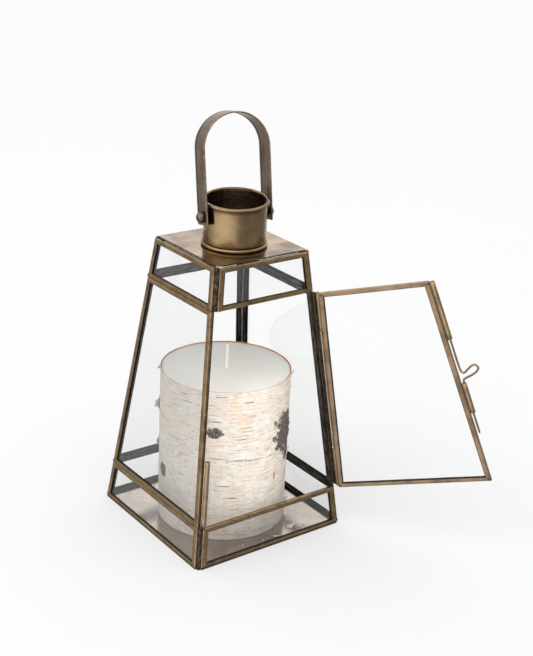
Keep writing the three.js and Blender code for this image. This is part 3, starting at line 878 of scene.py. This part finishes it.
def drawn_tube(name, body, material):
    """A tube or rod with softened ends, in the place of a straight round CAD piece."""
    low, high, radius, bore = tube_axis(name)
    length = (high - low).length
    turn = turned_to((high - low).normalized())
    solid = radius - bore < 0.05 * MM
    soft = 0.18 * MM
    steps = max(3, round(length / (5 * MM)))
    outside = [(radius, soft + (length - 2 * soft) * i / steps) for i in range(steps + 1)]
    # the softened ends are rubbed gold, partly a painted highlight
    if solid:
        profile = [(0.0, 0.0), (radius - soft, 0.0)] + outside + [(radius - soft, length), (0.0, length)]
        marks_and_painted_light = [(0, 0, 0), (1, 0, 0)] + [(0.1, 0, 0)] * len(outside) + [(1, 0, 0), (0, 0, 0)]
    else:
        profile = [(bore, length), (bore, 0.0), (radius - soft, 0.0)] + outside + [(radius - soft, length)]
        marks_and_painted_light = [(0, 0, 1), (0, 0, 1), (0.8, 0, 0)] + [(0.1, 0, 0)] * len(outside) + [(0.8, 0, 0)]

    def ripple(angle, height, reach):
        spot = Vector((math.cos(angle), math.sin(angle), height * 80))
        return 0.05 * MM * noise.noise(spot) if reach >= radius else 0.0

    piece = lathe(name + "_drawn", profile, low, 32, turn, ripple, marks_and_painted_light, closed=not solid)
    for layer in piece.data.uv_layers:
        spots = np.zeros(len(layer.data) * 2)
        layer.data.foreach_get("uv", spots)
        spots = spots.reshape(-1, 2)[:, ::-1] + np.array([len(name) * 0.13, 0.0])
        layer.data.foreach_set("uv", spots.ravel())
    return stands_for(piece, name, material, body)


rod_brass = brass_material("rod_brass", (0.36, 0.245, 0.14, 1), (0.2, 0.14, 0.09, 1),
                           (0.5, 0.34, 0.19, 1), (0.46, 0.32, 0.18, 1), cloud_scale=90.0)
tube_brass = brass_material("tube_brass", (0.42, 0.3, 0.175, 1), (0.25, 0.175, 0.11, 1),
                            (0.54, 0.4, 0.24, 1), (0.54, 0.4, 0.24, 1), cloud_scale=90.0)
for tube_name, tube_body in (("knuckle_low", "door"), ("knuckle_high", "door"), ("guide_high", "door"),
                             ("guide_low", "door"), ("keeper_tube", "case")):
    drawn_tube(tube_name, tube_body, tube_brass)
drawn_tube("hinge_rod", "case", rod_brass)

soften(carried("hinge_solder", black_solder), 0.3 * MM, 3)

brown_solder = solder_material("brown_solder", (0.09, 0.062, 0.042, 1), (0.26, 0.18, 0.11, 1), 0.5)
door_corners, door_place, door_depth = pane_plane("channel_door")
door_lumps = []
for number, inward in enumerate(moved_in(door_corners, [2.0 * MM] * 4)):
    for face in (-1, 1):
        spot = door_place @ Vector((inward.x, inward.y, face * (door_depth / 2 - 0.1 * MM)))
        door_lumps.append(lump(spot, (1.5 * MM, 0.9 * MM, 0.35 * MM), number * 3 + face,
                               door_place.to_3x3()))
joined("door_mitre_solder", door_lumps, brown_solder, "door")


# ---- latch bolt ----
# One length of hard brass wire, straight where it slides in the guides, with a finger loop bent out
# between them. Its lower end drops into the keeper when the door is shut.
BOLT_RADIUS = 0.85 * MM
# all shares are of the way up the door's free edge
GUIDES_FROM, GUIDES_TO = 0.35, 0.995
WIRE_TIP, WIRE_TOP, LOOP_LEVEL = 0.245, 0.80, 0.545
guides_foot = tube_axis("guide_low")[0]
guides_top = tube_axis("guide_high")[1]
latch_way = (guides_top - guides_foot).normalized()
EDGE_LENGTH = (guides_top - guides_foot).length / (GUIDES_TO - GUIDES_FROM)
latch_foot = guides_foot - latch_way * GUIDES_FROM * EDGE_LENGTH
door_middle = sum(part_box("glass_door"), Vector()) / 2
toward_door = door_middle - latch_foot
toward_door = toward_door - latch_way * toward_door.dot(latch_way)
door_normal = door_place.to_3x3() @ Vector((0, 0, 1))
toward_door = (toward_door - door_normal * toward_door.dot(door_normal)).normalized()


def wire_route():
    """Spots down the wire, in mm: how far out from the door's edge, and above or below the loop."""
    loop = LOOP_LEVEL * EDGE_LENGTH
    bends = [(0.1, 6.0), (0.6, 1.7), (2.2, 0.2), (4.6, 1.4), (9.4, 4.5), (12.5, 5.0), (14.2, 2.1),
             (12.0, -0.6), (7.8, -2.7), (3.2, -4.0), (0.7, -5.2), (0.0, -7.4), (0.0, -9.6)]
    spots = [(0.0, share * EDGE_LENGTH) for share in (WIRE_TOP, 0.70, 0.62)]
    spots += [(out * MM, loop + rise * MM) for out, rise in bends]
    spots += [(0.0, share * EDGE_LENGTH) for share in (0.40, WIRE_TIP)]
    return [latch_foot - toward_door * out + latch_way * level for out, level in spots]


def smooth_line(spots, per_span):
    """A centripetal Catmull-Rom curve through the spots."""
    line = []
    padded = [2 * spots[0] - spots[1]] + spots + [2 * spots[-1] - spots[-2]]
    for p0, p1, p2, p3 in zip(padded, padded[1:], padded[2:], padded[3:]):
        t0 = 0.0
        t1 = t0 + math.sqrt((p1 - p0).length)
        t2 = t1 + math.sqrt((p2 - p1).length)
        t3 = t2 + math.sqrt((p3 - p2).length)
        count = max(4, round((p2 - p1).length / per_span))
        for i in range(count):
            t = t1 + (t2 - t1) * i / count
            a1 = p0 * ((t1 - t) / (t1 - t0)) + p1 * ((t - t0) / (t1 - t0))
            a2 = p1 * ((t2 - t) / (t2 - t1)) + p2 * ((t - t1) / (t2 - t1))
            a3 = p2 * ((t3 - t) / (t3 - t2)) + p3 * ((t - t2) / (t3 - t2))
            b1 = a1 * ((t2 - t) / (t2 - t0)) + a2 * ((t - t0) / (t2 - t0))
            b2 = a2 * ((t3 - t) / (t3 - t1)) + a3 * ((t - t1) / (t3 - t1))
            line.append(b1 * ((t2 - t) / (t2 - t1)) + b2 * ((t - t1) / (t2 - t1)))
    line.append(spots[-1])
    return line


def latch_wire():
    """The wire, with its two ends nipped in."""
    line = smooth_line(wire_route(), 1.2 * MM)
    sides = 14
    last = len(line) - 1
    travelled = [0.0]
    for first, second in zip(line, line[1:]):
        travelled.append(travelled[-1] + (second - first).length)

    def ring(step):
        way = (line[min(step + 1, last)] - line[max(step - 1, 0)]).normalized()
        across = way.cross(door_normal).normalized()
        radius = BOLT_RADIUS * (0.55 if step in (0, last) else 1.0)
        angles = [2 * math.pi * i / sides for i in range(sides)]
        return [line[step] + (door_normal * math.cos(a) + across * math.sin(a)) * radius for a in angles]

    vertices = [point for step in range(len(line)) for point in ring(step)]
    around = [2 * math.pi * BOLT_RADIUS * i / sides for i in range(sides + 1)]
    faces, uvs = skin(travelled, around)
    return finished_mesh("latch_wire", vertices, faces, uvs, [(0.1, 0, 0)] * len(vertices))


wire_brass = brass_material("wire_brass", (0.33, 0.235, 0.15, 1), (0.2, 0.14, 0.09, 1),
                            (0.46, 0.33, 0.2, 1), (0.46, 0.32, 0.18, 1), cloud_scale=120.0)
stands_for(latch_wire(), "latch_bolt", wire_brass, "bolt")


# ---- candle wax ----
# A pillar of cream wax poured into the bark: flat on top, drawn down a little as it set, with a
# faint collar of wax where it clings to the bark and to the wick.
bark_low, bark_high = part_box("candle_bark")
CANDLE_RADIUS = (bark_high.x - bark_low.x) / 2
CANDLE_FOOT = foot_of("candle_bark")
CANDLE_RISE = bark_high.z - bark_low.z
BARK = 0.9 * MM
wax_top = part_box("candle_wax")[1].z - CANDLE_FOOT.z


def wax_material():
    made, tree, shader = new_material("candle_wax", Roughness=0.5, Subsurface_Weight=0.25,
                                      Subsurface_Radius=(0.9, 0.7, 0.5), Subsurface_Scale=0.004)
    place = on_piece(tree)
    soft = cloud(tree, place, 22.0, 3.0)
    color = mixed(tree, between(tree, soft, 0.35, 0.65), (0.97, 0.945, 0.88, 1), (0.955, 0.925, 0.85, 1))
    specks = cloud(tree, place, 330.0, 2.0)
    color = mixed(tree, between(tree, specks, 0.72, 0.8), color, (0.6, 0.56, 0.5, 1))
    feed(tree, shader, color, between(tree, soft, 0.3, 0.7, 0.42, 0.58))
    bump(tree, shader, maths(tree, "ADD", soft, specks), 0.12, 0.0006)
    return made


def wax():
    """The pillar: up its side, over its rim, and in along the top to the wick."""
    radius = CANDLE_RADIUS - BARK - 0.3 * MM
    top = wax_top
    dip = 0.45 * MM
    profile = [(0.0, 0.2 * MM), (radius - 1 * MM, 0.2 * MM), (radius, 1.2 * MM)]
    profile += [(radius, top * i / 8) for i in range(1, 8)]
    profile += [(radius, top - 0.05 * MM), (radius - 0.25 * MM, top + 0.05 * MM)]
    for share in (0.97, 0.94, 0.9, 0.82, 0.7, 0.55, 0.4, 0.25, 0.12, 0.07, 0.045):
        cling = 0.35 * MM * math.exp(-(1 - share) * 28) + 0.4 * MM * math.exp(-share * 30)
        profile.append((radius * share, top - dip + cling))
    profile.append((0.0, top - 0.1 * MM))
    return lathe("wax_pillar", profile, CANDLE_FOOT, 128, closed=False)


stands_for(wax(), "candle_wax", wax_material(), "candle")


# ---- wick ----
# Three strands of cotton, plaited tight and dipped in wax. It stands unburnt from the middle of the
# pillar, leaning very slightly.
WICK_RADIUS = 1.2 * MM


def wick():
    centre = foot_of("candle_wick") - Vector((0, 0, 0.6 * MM))
    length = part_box("candle_wick")[1].z - centre.z
    steps, sides = 60, 24

    def ring(step):
        z = length * step / steps
        close = 0.75 if step == steps else 1.0
        lean = Vector((0.25 * MM * (z / length) ** 2, -0.15 * MM * (z / length) ** 2, 0))
        points = []
        for i in range(sides):
            angle = 2 * math.pi * i / sides
            strand = 1 + 0.13 * math.cos(3 * angle + z * 1500) + 0.05 * math.cos(7 * angle - z * 2600)
            r = WICK_RADIUS * strand * close * (1 - 0.12 * z / length)
            points.append(centre + lean + Vector((r * math.cos(angle), r * math.sin(angle), z)))
        return points

    return finished_mesh("plaited_wick", *sweep(range(steps + 1), ring))


def cotton():
    made, tree, shader = new_material("waxed_cotton", Roughness=0.75)
    place = on_piece(tree)
    fibres = cloud(tree, stretched(tree, place, 1.0, 1.0, 0.3), 1800.0, 4.0)
    color = mixed(tree, fibres, (0.86, 0.83, 0.76, 1), (0.95, 0.93, 0.88, 1))
    feed(tree, shader, color)
    bump(tree, shader, fibres, 0.4, 0.0004)
    return made


stands_for(wick(), "candle_wick", cotton(), "candle")


# ---- bark ----
# A sheet of birch bark wrapped once round the pillar and glued at the back: papery and pale, with
# dark dashes, orange patches, rough black knots, curling flakes and a reddish cut edge at the top.
SEAM_ANGLE = 62.0
KNOTS = [  # angle, height, half width, half height, how far it stands out, in degrees and mm
    (-134.5, 94.6, 8.2, 4.6, 0.5),
    (-57.0, 84.0, 17.0, 19.0, 1.5),
    (-52.0, 66.0, 7.0, 12.0, 0.9),
    (168.5, 47.0, 6.0, 6.5, 0.8),
    (20.0, 104.0, 12.0, 6.0, 0.9),
    (98.0, 70.0, 9.0, 6.0, 0.7),
]


def on_bark(angle, height):
    """Place on the unrolled bark, in metres, of an angle in degrees and a height in millimetres."""
    turn = math.radians((angle - SEAM_ANGLE) % 360)
    return Vector((turn * CANDLE_RADIUS, height * MM - CANDLE_FOOT.z, 0))


def knot_depth(spot):
    """How deep in a knot an unrolled place is, 0 outside and 1 in the middle, and how far it stands."""
    deepest, proud = 0.0, 0.0
    for angle, height, wide, tall, stands in KNOTS:
        away = spot - on_bark(angle, height)
        depth = max(0.0, 1 - math.hypot(away.x / (wide * MM), away.y / (tall * MM)))
        if depth > deepest:
            deepest, proud = depth, stands
    return deepest, proud


def bark_lift(turn, z):
    """Height of the bark's surface above its even round."""
    spot = Vector((turn * CANDLE_RADIUS, z, 0))
    around = Vector((math.cos(turn), math.sin(turn), 0)) * CANDLE_RADIUS
    key = Vector((around.x, around.y, z))
    lift = 0.16 * noise.noise(key * 60) + 0.07 * noise.noise(Vector((key.x * 200, key.y * 200, z * 700)))
    depth, proud = knot_depth(spot)
    if depth > 0:
        rough = noise.fractal(Vector((key.x * 380, key.y * 380, z * 210)), 0.8, 2.1, 4)
        lift += proud * min(1.0, depth * 3) * (0.35 + 0.75 * rough)
    return lift * MM


def bark_wrap():
    """The sheet: rows of the outside from the foot to the cut edge, over the edge, and down the inside."""
    turns, rows = 400, 130
    seam = math.radians(SEAM_ANGLE)
    vertices, faces, uvs, marks_and_painted_light = [], [], [], []
    rings = []
    inner = CANDLE_RADIUS - BARK

    def rim_height(turn):
        way = Vector((math.cos(turn) * 3, math.sin(turn) * 3, 0))
        return CANDLE_RISE - 0.25 * MM + 0.3 * MM * noise.noise(way) + 0.12 * MM * noise.noise(way * 6)

    def ring(radius_at, height_at, mark):
        rings.append(len(vertices))
        for i in range(turns):
            turn = 2 * math.pi * i / turns
            radius, z = radius_at(turn), height_at(turn)
            angle = turn + seam
            vertices.append(CANDLE_FOOT + Vector((radius * math.cos(angle), radius * math.sin(angle), z)))
            marks_and_painted_light.append(mark)

    for share in [i / rows for i in range(rows + 1)]:
        fade = min(1.0, (1 - share) * 25, share * 40 + 0.2)
        ring(lambda t, s=share, f=fade: CANDLE_RADIUS - 0.12 * MM + bark_lift(t, s * CANDLE_RISE) * f,
             lambda t, s=share: rim_height(t) * s, (0.0, 0.0, 0.0))
    ring(lambda t: CANDLE_RADIUS - 0.28 * MM, lambda t: rim_height(t) + 0.12 * MM, (1.0, 0, 0))
    ring(lambda t: inner + 0.2 * MM, lambda t: rim_height(t) + 0.1 * MM, (1.0, 0, 0))
    ring(lambda t: inner, lambda t: rim_height(t) - 0.1 * MM, (1.0, 0, 0))
    ring(lambda t: inner, lambda t: wax_top - 2.5 * MM, (0.8, 0, 0))
    ring(lambda t: inner, lambda t: 0.0, (0.5, 0, 0))
    pairs = list(zip(range(len(rings)), list(range(1, len(rings))) + [0]))
    for row, after in pairs:
        for i in range(turns):
            j = (i + 1) % turns
            faces.append((rings[row] + i, rings[row] + j, rings[after] + j, rings[after] + i))
            for step, which in ((i, row), (i + 1, row), (i + 1, after), (i, after)):
                z = vertices[rings[which] + step % turns].z - CANDLE_FOOT.z
                uvs.append((step / turns * 2 * math.pi * CANDLE_RADIUS, z))
    return finished_mesh("bark_sheet", vertices, faces, uvs, marks_and_painted_light)


def mark_group():
    """A ragged oval mark at a place on the unrolled bark."""
    labels = [("Vector", "Vector"), ("Centre", "Vector"), ("Size", "Vector"), ("Ragged", "Float")]
    group, given, result = new_group("bark_mark", labels, [("Mask", "Float")])
    away = vectors(group, "SUBTRACT", given["Vector"], given["Centre"])
    away = vectors(group, "DIVIDE", away, given["Size"])
    reach = vectors(group, "LENGTH", away)
    torn = cloud(group, given["Vector"], 420.0, 5.0, 0.7)
    waved = cloud(group, given["Vector"], 130.0, 2.0)
    torn = maths(group, "SUBTRACT", maths(group, "ADD", torn, maths(group, "MULTIPLY", waved, 1.4)), 1.2)
    torn = maths(group, "MULTIPLY", torn, given["Ragged"])
    group.links.new(between(group, maths(group, "ADD", reach, torn), 1.05, 0.8), result["Mask"])
    return group


def dash_group():
    """Short dark breathing pores that run round the trunk, one to a cell, some left out."""
    labels = [("Vector", "Vector"), ("Across", "Float"), ("Up", "Float"), ("Length", "Float"),
              ("Thickness", "Float"), ("Kept", "Float")]
    group, given, result = new_group("bark_dashes", labels, [("Mask", "Float")])
    size = node(group, "CombineXYZ", {0: given["Across"], 1: given["Up"], 2: 0.0}).outputs[0]
    place = vectors(group, "MULTIPLY", given["Vector"], size)
    scattered = {"Vector": place, "Scale": 1.0, "Randomness": 0.9}
    cells = node(group, "TexVoronoi", scattered, voronoi_dimensions="2D")
    away = vectors(group, "SUBTRACT", place, cells.outputs["Position"])
    dice = node(group, "SeparateColor", {0: cells.outputs["Color"]}).outputs
    long = maths(group, "MULTIPLY", given["Length"], between(group, dice[1], 0.0, 1.0, 0.45, 1.0))
    span = node(group, "CombineXYZ", {0: long, 1: given["Thickness"], 2: 1.0}).outputs[0]
    away = vectors(group, "DIVIDE", away, span)
    reach = vectors(group, "LENGTH", away)
    shown = maths(group, "LESS_THAN", dice[0], given["Kept"])
    group.links.new(maths(group, "MULTIPLY", between(group, reach, 1.0, 0.55), shown), result["Mask"])
    return group


ORANGE_PATCHES = [  # angle, height, half width, half height, in degrees and mm
    (-95, 67.4, 5.0, 0.9), (-128.8, 84.3, 4.5, 1.0), (-106, 86.3, 8.0, 1.0), (-78, 39.5, 6.0, 1.3),
    (-70, 40.5, 4.5, 0.9), (-107, 36.8, 9.0, 0.5), (-124, 5.5, 13.0, 1.6),
]
CRACKS = [  # the same measures
    (-131, 72.6, 10.0, 0.35), (-114, 71.3, 9.0, 0.4), (-97, 69.8, 9.0, 0.5), (-81, 69.2, 6.0, 0.35),
    (-135, 104.2, 6.5, 0.45), (-128, 125.0, 6.0, 0.45), (-105, 119.5, 5.5, 0.5), (-125.9, 49.2, 6.5, 0.6),
    (-103.8, 96, 7.0, 0.35), (-108.8, 89.2, 6.0, 0.4), (-73.4, 49.5, 1.1, 3.2), (-117, 39.6, 4.5, 0.5),
    (-160, 117, 5.0, 0.5), (-163, 123.6, 4.0, 0.5),
]


def marked(tree, group, place, spots, ragged):
    """One mask of several marks on the bark."""
    found = None
    for angle, height, wide, tall in spots:
        given = {"Vector": place, "Centre": on_bark(angle, height), "Size": (wide * MM, tall * MM, 1.0),
                 "Ragged": ragged}
        mask = use_group(tree, group, given)["Mask"]
        found = mask if found is None else maths(tree, "MAXIMUM", found, mask)
    return found


def bark_material():
    made, tree, shader = new_material("birch_bark", Roughness=0.8)
    flat = node(tree, "UVMap", uv_map="surface").outputs["UV"]
    ripple = node(tree, "TexNoise", {"Vector": stretched(tree, flat, 1.0, 2.2), "Scale": 26.0, "Detail": 3.0})
    offset = vectors(tree, "SUBTRACT", ripple.outputs["Color"], (0.5, 0.5, 0.5))
    offset = vectors(tree, "MULTIPLY", offset, (0.004, 0.0055, 0.0))
    place = vectors(tree, "ADD", flat, offset)
    marks, dashes = mark_group(), dash_group()
    broad = cloud(tree, stretched(tree, place, 1.0, 2.0), 24.0, 5.0, 0.6)
    warm = cloud(tree, stretched(tree, place, 1.0, 1.5), 33.0, 5.0, 0.62)
    lines = cloud(tree, stretched(tree, place, 1.0, 16.0), 60.0, 4.0, 0.6)
    upright = cloud(tree, stretched(tree, place, 9.0, 1.0), 34.0, 3.0)
    color = mixed(tree, between(tree, broad, 0.38, 0.62), (0.86, 0.81, 0.735, 1), (0.87, 0.79, 0.685, 1))
    # painted light: the peach patches grow stronger from just left of the side facing the camera to its right
    # half, a warmer, darker tone for how the light falls there
    painted_light_side = between(tree, node(tree, "SeparateXYZ", {0: flat}).outputs[0],
                    on_bark(-150, 0).x, on_bark(-118, 0).x)
    peach = maths(tree, "MULTIPLY", between(tree, warm, 0.5, 0.68), between(tree, painted_light_side, 0, 1, 0.18, 0.85))
    color = mixed(tree, peach, color, (0.88, 0.69, 0.52, 1))
    color = mixed(tree, between(tree, lines, 0.44, 0.68, 0.0, 0.62), color, (0.62, 0.52, 0.42, 1))
    color = mixed(tree, between(tree, upright, 0.5, 0.75, 0.0, 0.45), color, (0.93, 0.92, 0.90, 1))
    mottle = cloud(tree, stretched(tree, place, 1.0, 2.6), 210.0, 6.0, 0.72)
    color = mixed(tree, between(tree, mottle, 0.50, 0.68, 0.0, 0.8), color, (0.56, 0.45, 0.335, 1))
    peeled = cloud(tree, stretched(tree, place, 1.0, 1.7), 75.0, 6.0, 0.7)
    color = mixed(tree, between(tree, peeled, 0.57, 0.62, 0.0, 0.55), color, (0.93, 0.91, 0.88, 1))
    color = mixed(tree, between(tree, peeled, 0.38, 0.45, 0.6, 0.0), color, (0.70, 0.585, 0.46, 1))
    small = use_group(tree, dashes, {"Vector": place, "Across": 88.0, "Up": 380.0, "Length": 0.36,
                                     "Thickness": 0.1, "Kept": 0.3})["Mask"]
    large = use_group(tree, dashes, {"Vector": place, "Across": 37.0, "Up": 96.0, "Length": 0.34,
                                     "Thickness": 0.032, "Kept": 0.62})["Mask"]
    broken = cloud(tree, place, 700.0, 3.0)
    color = mixed(tree, maths(tree, "MULTIPLY", small, between(tree, broken, 0.35, 0.6, 0.2, 0.75)),
                  color, (0.36, 0.28, 0.2, 1))
    color = mixed(tree, maths(tree, "MULTIPLY", large, between(tree, broken, 0.35, 0.6, 0.35, 0.95)),
                  color, (0.27, 0.215, 0.16, 1))
    orange = marked(tree, marks, place, ORANGE_PATCHES, 0.9)
    color = mixed(tree, maths(tree, "MULTIPLY", orange, 0.55), color, (0.84, 0.50, 0.30, 1))
    dark = marked(tree, marks, place, CRACKS, 0.6)
    color = mixed(tree, maths(tree, "MULTIPLY", dark, between(tree, broken, 0.3, 0.6, 0.45, 1.0)),
                  color, (0.22, 0.175, 0.13, 1))
    knots = marked(tree, marks, place, [knot[:4] for knot in KNOTS], 1.1)
    fibres = cloud(tree, stretched(tree, place, 2.6, 1.0), 330.0, 5.0, 0.7)
    crust = mixed(tree, between(tree, fibres, 0.40, 0.62), (0.045, 0.038, 0.033, 1), (0.25, 0.205, 0.17, 1))
    crust = mixed(tree, between(tree, fibres, 0.66, 0.76), crust, (0.62, 0.44, 0.33, 1))
    color = mixed(tree, knots, color, crust)
    edge = node(tree, "Attribute", attribute_name="marks_and_painted_light").outputs["Color"]
    color = mixed(tree, node(tree, "SeparateColor", {0: edge}).outputs[0], color, (0.66, 0.27, 0.13, 1))
    feed(tree, shader, color)
    height = maths(tree, "ADD", maths(tree, "MULTIPLY", lines, 0.5), maths(tree, "MULTIPLY", knots, fibres))
    height = maths(tree, "SUBTRACT", height, maths(tree, "MULTIPLY", maths(tree, "ADD", small, large), 0.25))
    bump(tree, shader, height, 0.55, 0.0007)
    return made


stands_for(bark_wrap(), "candle_bark", bark_material(), "candle")


# ---- curling flakes and crumbs ----
# Papery outer layers that have let go of the bark and curl off it, and a few crumbs of bark that
# have dropped on the base plate.
def scrap_material(name, rough, scale, pale, warm, strength, depth):
    """Bark seen close, in two mottled tones."""
    made, tree, shader = new_material(name, Roughness=rough)
    place = on_piece(tree)
    tone = cloud(tree, place, scale, 4.0)
    color = mixed(tree, between(tree, tone, 0.35, 0.65), pale, warm)
    feed(tree, shader, color)
    bump(tree, shader, tone, strength, depth)
    return made


bark_flake = scrap_material("bark_flake", 0.75, 160.0, (0.87, 0.81, 0.74, 1), (0.80, 0.66, 0.54, 1),
                            0.4, 0.0004)
bark_chip = scrap_material("bark_chip", 0.85, 260.0, (0.90, 0.80, 0.71, 1), (0.82, 0.64, 0.53, 1),
                           0.3, 0.0003)


def curl(angle, height, wide, tall, lift, seed):
    """A flake held along one upright edge and curling away from the bark along the other."""
    columns, rows = 8, 6
    outer, inner = [], []
    for row in range(rows + 1):
        for column in range(columns + 1):
            along, rise = column / columns, row / rows - 0.5
            torn = 1 + 0.45 * noise.noise(Vector((rise * 4, seed * 2.7, along * 2)))
            turn = math.radians(angle) + wide * MM * along * torn / CANDLE_RADIUS
            radius = CANDLE_RADIUS + (0.15 + lift * along ** 2 * torn) * MM
            z = height * MM + tall * MM * (rise * (1 - 0.6 * along ** 1.5) * torn + 0.12 * along)
            for shell, off in ((outer, 0.08 * MM), (inner, -0.04 * MM)):
                shell.append(Vector((CANDLE_FOOT.x + (radius + off) * math.cos(turn),
                                     CANDLE_FOOT.y + (radius + off) * math.sin(turn), z)))
    return closed_sheet(outer, inner, columns, rows)


def closed_sheet(outer, inner, columns, rows):
    """Two facing grids of points made into one thin closed solid."""
    vertices = outer + inner
    offset = len(outer)
    width = columns + 1
    faces = []
    for row in range(rows):
        for column in range(columns):
            a = row * width + column
            faces.append((a, a + 1, a + width + 1, a + width))
            faces.append((offset + a, offset + a + width, offset + a + width + 1, offset + a + 1))
    edge = ([column for column in range(columns)] + [row * width + columns for row in range(rows)]
            + [rows * width + column for column in range(columns, 0, -1)]
            + [row * width for row in range(rows, 0, -1)])
    for a, b in zip(edge, edge[1:] + edge[:1]):
        faces.append((b, a, offset + a, offset + b))
    return vertices, faces


FLAKES = [  # angle, height, width, height of the flake, how far it curls out
    (134, 92, 9, 14, 3.4), (146, 128.5, 6, 3.5, 2.2), (-172, 70, 7, 8, 1.2), (140, 60, 6, 9, 1.6),
    (-44, 127.5, 7, 4, 2.2), (-52, 118, 6, 5, 1.0), (-40, 9, 7, 9, 2.0), (-45, 60, 6, 8, 1.4),
    (60, 112, 9, 10, 2.4), (84, 38, 8, 9, 2.0), (15, 84, 7, 8, 1.3),
]
flakes = [curl(*values, seed=i) for i, values in enumerate(FLAKES)]
joined("bark_flakes", flakes, bark_flake, "candle")

CRUMBS = [  # x, y, length, width, turn in degrees, in mm
    (31.5, -54.5, 8.5, 3.6, 15), (11.5, -61.5, 5.0, 1.6, -20), (-20.0, -58.5, 2.6, 1.0, 40),
    (40.0, -58.5, 2.2, 1.2, 70), (-2.0, -60.5, 1.5, 0.9, 10), (56.0, 20.0, 4.5, 2.0, 60),
]
PLATE_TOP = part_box("base_plate")[1].z


def crumb(x, y, long, wide, turn, seed):
    """A torn, slightly arched chip lying on the base plate."""
    columns, rows = 6, 4
    outer, inner = [], []
    spin = Matrix.Rotation(math.radians(turn), 3, "Z")
    for row in range(rows + 1):
        for column in range(columns + 1):
            u, v = column / columns - 0.5, row / rows - 0.5
            taper = 1 - 0.75 * (u + 0.5)
            torn = 1 + 0.35 * noise.noise(Vector((u * 3, v * 3, seed)))
            arch = 0.9 * (0.25 - u * u) * wide * 0.16 + 0.15
            for shell, off in ((outer, 0.18), (inner, 0.0)):
                spot = spin @ Vector((u * long * torn, v * wide * taper * torn * 1.6, 0))
                shell.append(Vector(((x + spot.x) * MM, (y + spot.y) * MM, PLATE_TOP + (arch + off) * MM)))
    return closed_sheet(outer, inner, columns, rows)


crumbs = [crumb(*values, seed=i) for i, values in enumerate(CRUMBS)]
joined("bark_crumbs", crumbs, bark_chip, "case")


# ---- studio ----
# A white table top under soft white light from all round, with the dim sides of the room showing
# only in the metal.
CAMERA_TURN = math.radians(-37.536)
CAMERA_RISE = math.radians(21.900)
CAMERA_ROLL = math.radians(2.958)
CAMERA_AIM = Vector((0.03447, -0.00462, 0.15638))
CAMERA_DISTANCE = 1.0197
CAMERA_LENS = 69.858

right = Vector((math.cos(CAMERA_TURN), math.sin(CAMERA_TURN), 0))
front = Vector((math.sin(CAMERA_TURN), -math.cos(CAMERA_TURN), 0))
back = front * math.cos(CAMERA_RISE) + Vector((0, 0, math.sin(CAMERA_RISE)))
upward = back.cross(right)
rolled_right = right * math.cos(CAMERA_ROLL) + upward * math.sin(CAMERA_ROLL)
rolled_up = upward * math.cos(CAMERA_ROLL) - right * math.sin(CAMERA_ROLL)
lens = bpy.data.cameras.new("camera")
lens.sensor_fit = "VERTICAL"
lens.sensor_height = 36
lens.lens = CAMERA_LENS
lens.clip_start = 0.05
camera = bpy.data.objects.new("camera", lens)
camera.matrix_world = Matrix.Translation(CAMERA_AIM + back * CAMERA_DISTANCE) @ Matrix(
    (rolled_right, rolled_up, back)).transposed().to_4x4()
bpy.context.scene.collection.objects.link(camera)
bpy.context.scene.camera = camera


TABLE_REACH = 30.0
TABLE_GLOW = 0.47
ROOM_LIGHT = 1.6
KEY_POWER = 7
KEY_SIZE = 0.9


def table():
    """The white table top, which glows a little so that it stays white in the shade."""
    sheet = bmesh.new()
    bmesh.ops.create_grid(sheet, x_segments=4, y_segments=4, size=TABLE_REACH)
    mesh = bpy.data.meshes.new("table_top")
    sheet.to_mesh(mesh)
    sheet.free()
    piece = bpy.data.objects.new("table_top", mesh)
    bpy.context.scene.collection.objects.link(piece)
    piece.visible_glossy = False
    made, tree, shader = new_material("white_table", Roughness=0.9, Specular_IOR_Level=0.0)
    place = on_piece(tree)
    tone = cloud(tree, place, 3.0, 2.0)
    color = mixed(tree, tone, (0.30, 0.30, 0.30, 1), (0.31, 0.31, 0.31, 1))
    feed(tree, shader, color)
    shader.inputs["Emission Color"].default_value = (1.0, 1.0, 1.0, 1)
    shader.inputs["Emission Strength"].default_value = TABLE_GLOW
    mesh.materials.append(made)


table()


def room():
    """Even light on the matt surfaces; the gloss sees a window, the ceiling and the far wall."""
    world = bpy.data.worlds.new("soft_room")
    bpy.context.scene.world = world
    world.use_nodes = True
    tree = world.node_tree
    background = tree.nodes["Background"]
    way = node(tree, "TexCoord").outputs["Generated"]

    def facing(direction):
        return vectors(tree, "DOT_PRODUCT", way, direction)

    overhead = between(tree, facing((0, 0, 1)), 0.1, 0.75)
    window = between(tree, facing((front * 0.75 - right * 0.65).normalized()), 0.25, 1.0)
    behind = between(tree, facing(-front), 0.5, 1.0)
    glow = maths(tree, "ADD", maths(tree, "MULTIPLY", overhead, 0.9), maths(tree, "MULTIPLY", window, 0.9))
    glow = maths(tree, "ADD", glow, maths(tree, "MULTIPLY", behind, 0.7))
    glow = maths(tree, "ADD", glow, 0.4)
    gloss = node(tree, "LightPath").outputs["Is Glossy Ray"]
    strength = node(tree, "Mix", {0: gloss, 2: ROOM_LIGHT, 3: glow}, data_type="FLOAT").outputs[0]
    tree.links.new(strength, background.inputs["Strength"])
    background.inputs["Color"].default_value = (1.0, 1.0, 1.0, 1)


room()


key_offset = front * 0.7 - right * 0.9 + Vector((0, 0, 1.4))
lamp = bpy.data.lights.new("key_light", "AREA")
lamp.shape = "DISK"
lamp.size = KEY_SIZE
lamp.energy = KEY_POWER
holder = bpy.data.objects.new("key_light", lamp)
bpy.context.scene.collection.objects.link(holder)
holder.location = Vector((0, 0, 0.12)) + key_offset
holder.rotation_euler = (-key_offset).to_track_quat("-Z", "Y").to_euler()
holder.visible_glossy = False
bpy.context.scene.view_settings.view_transform = "Standard"
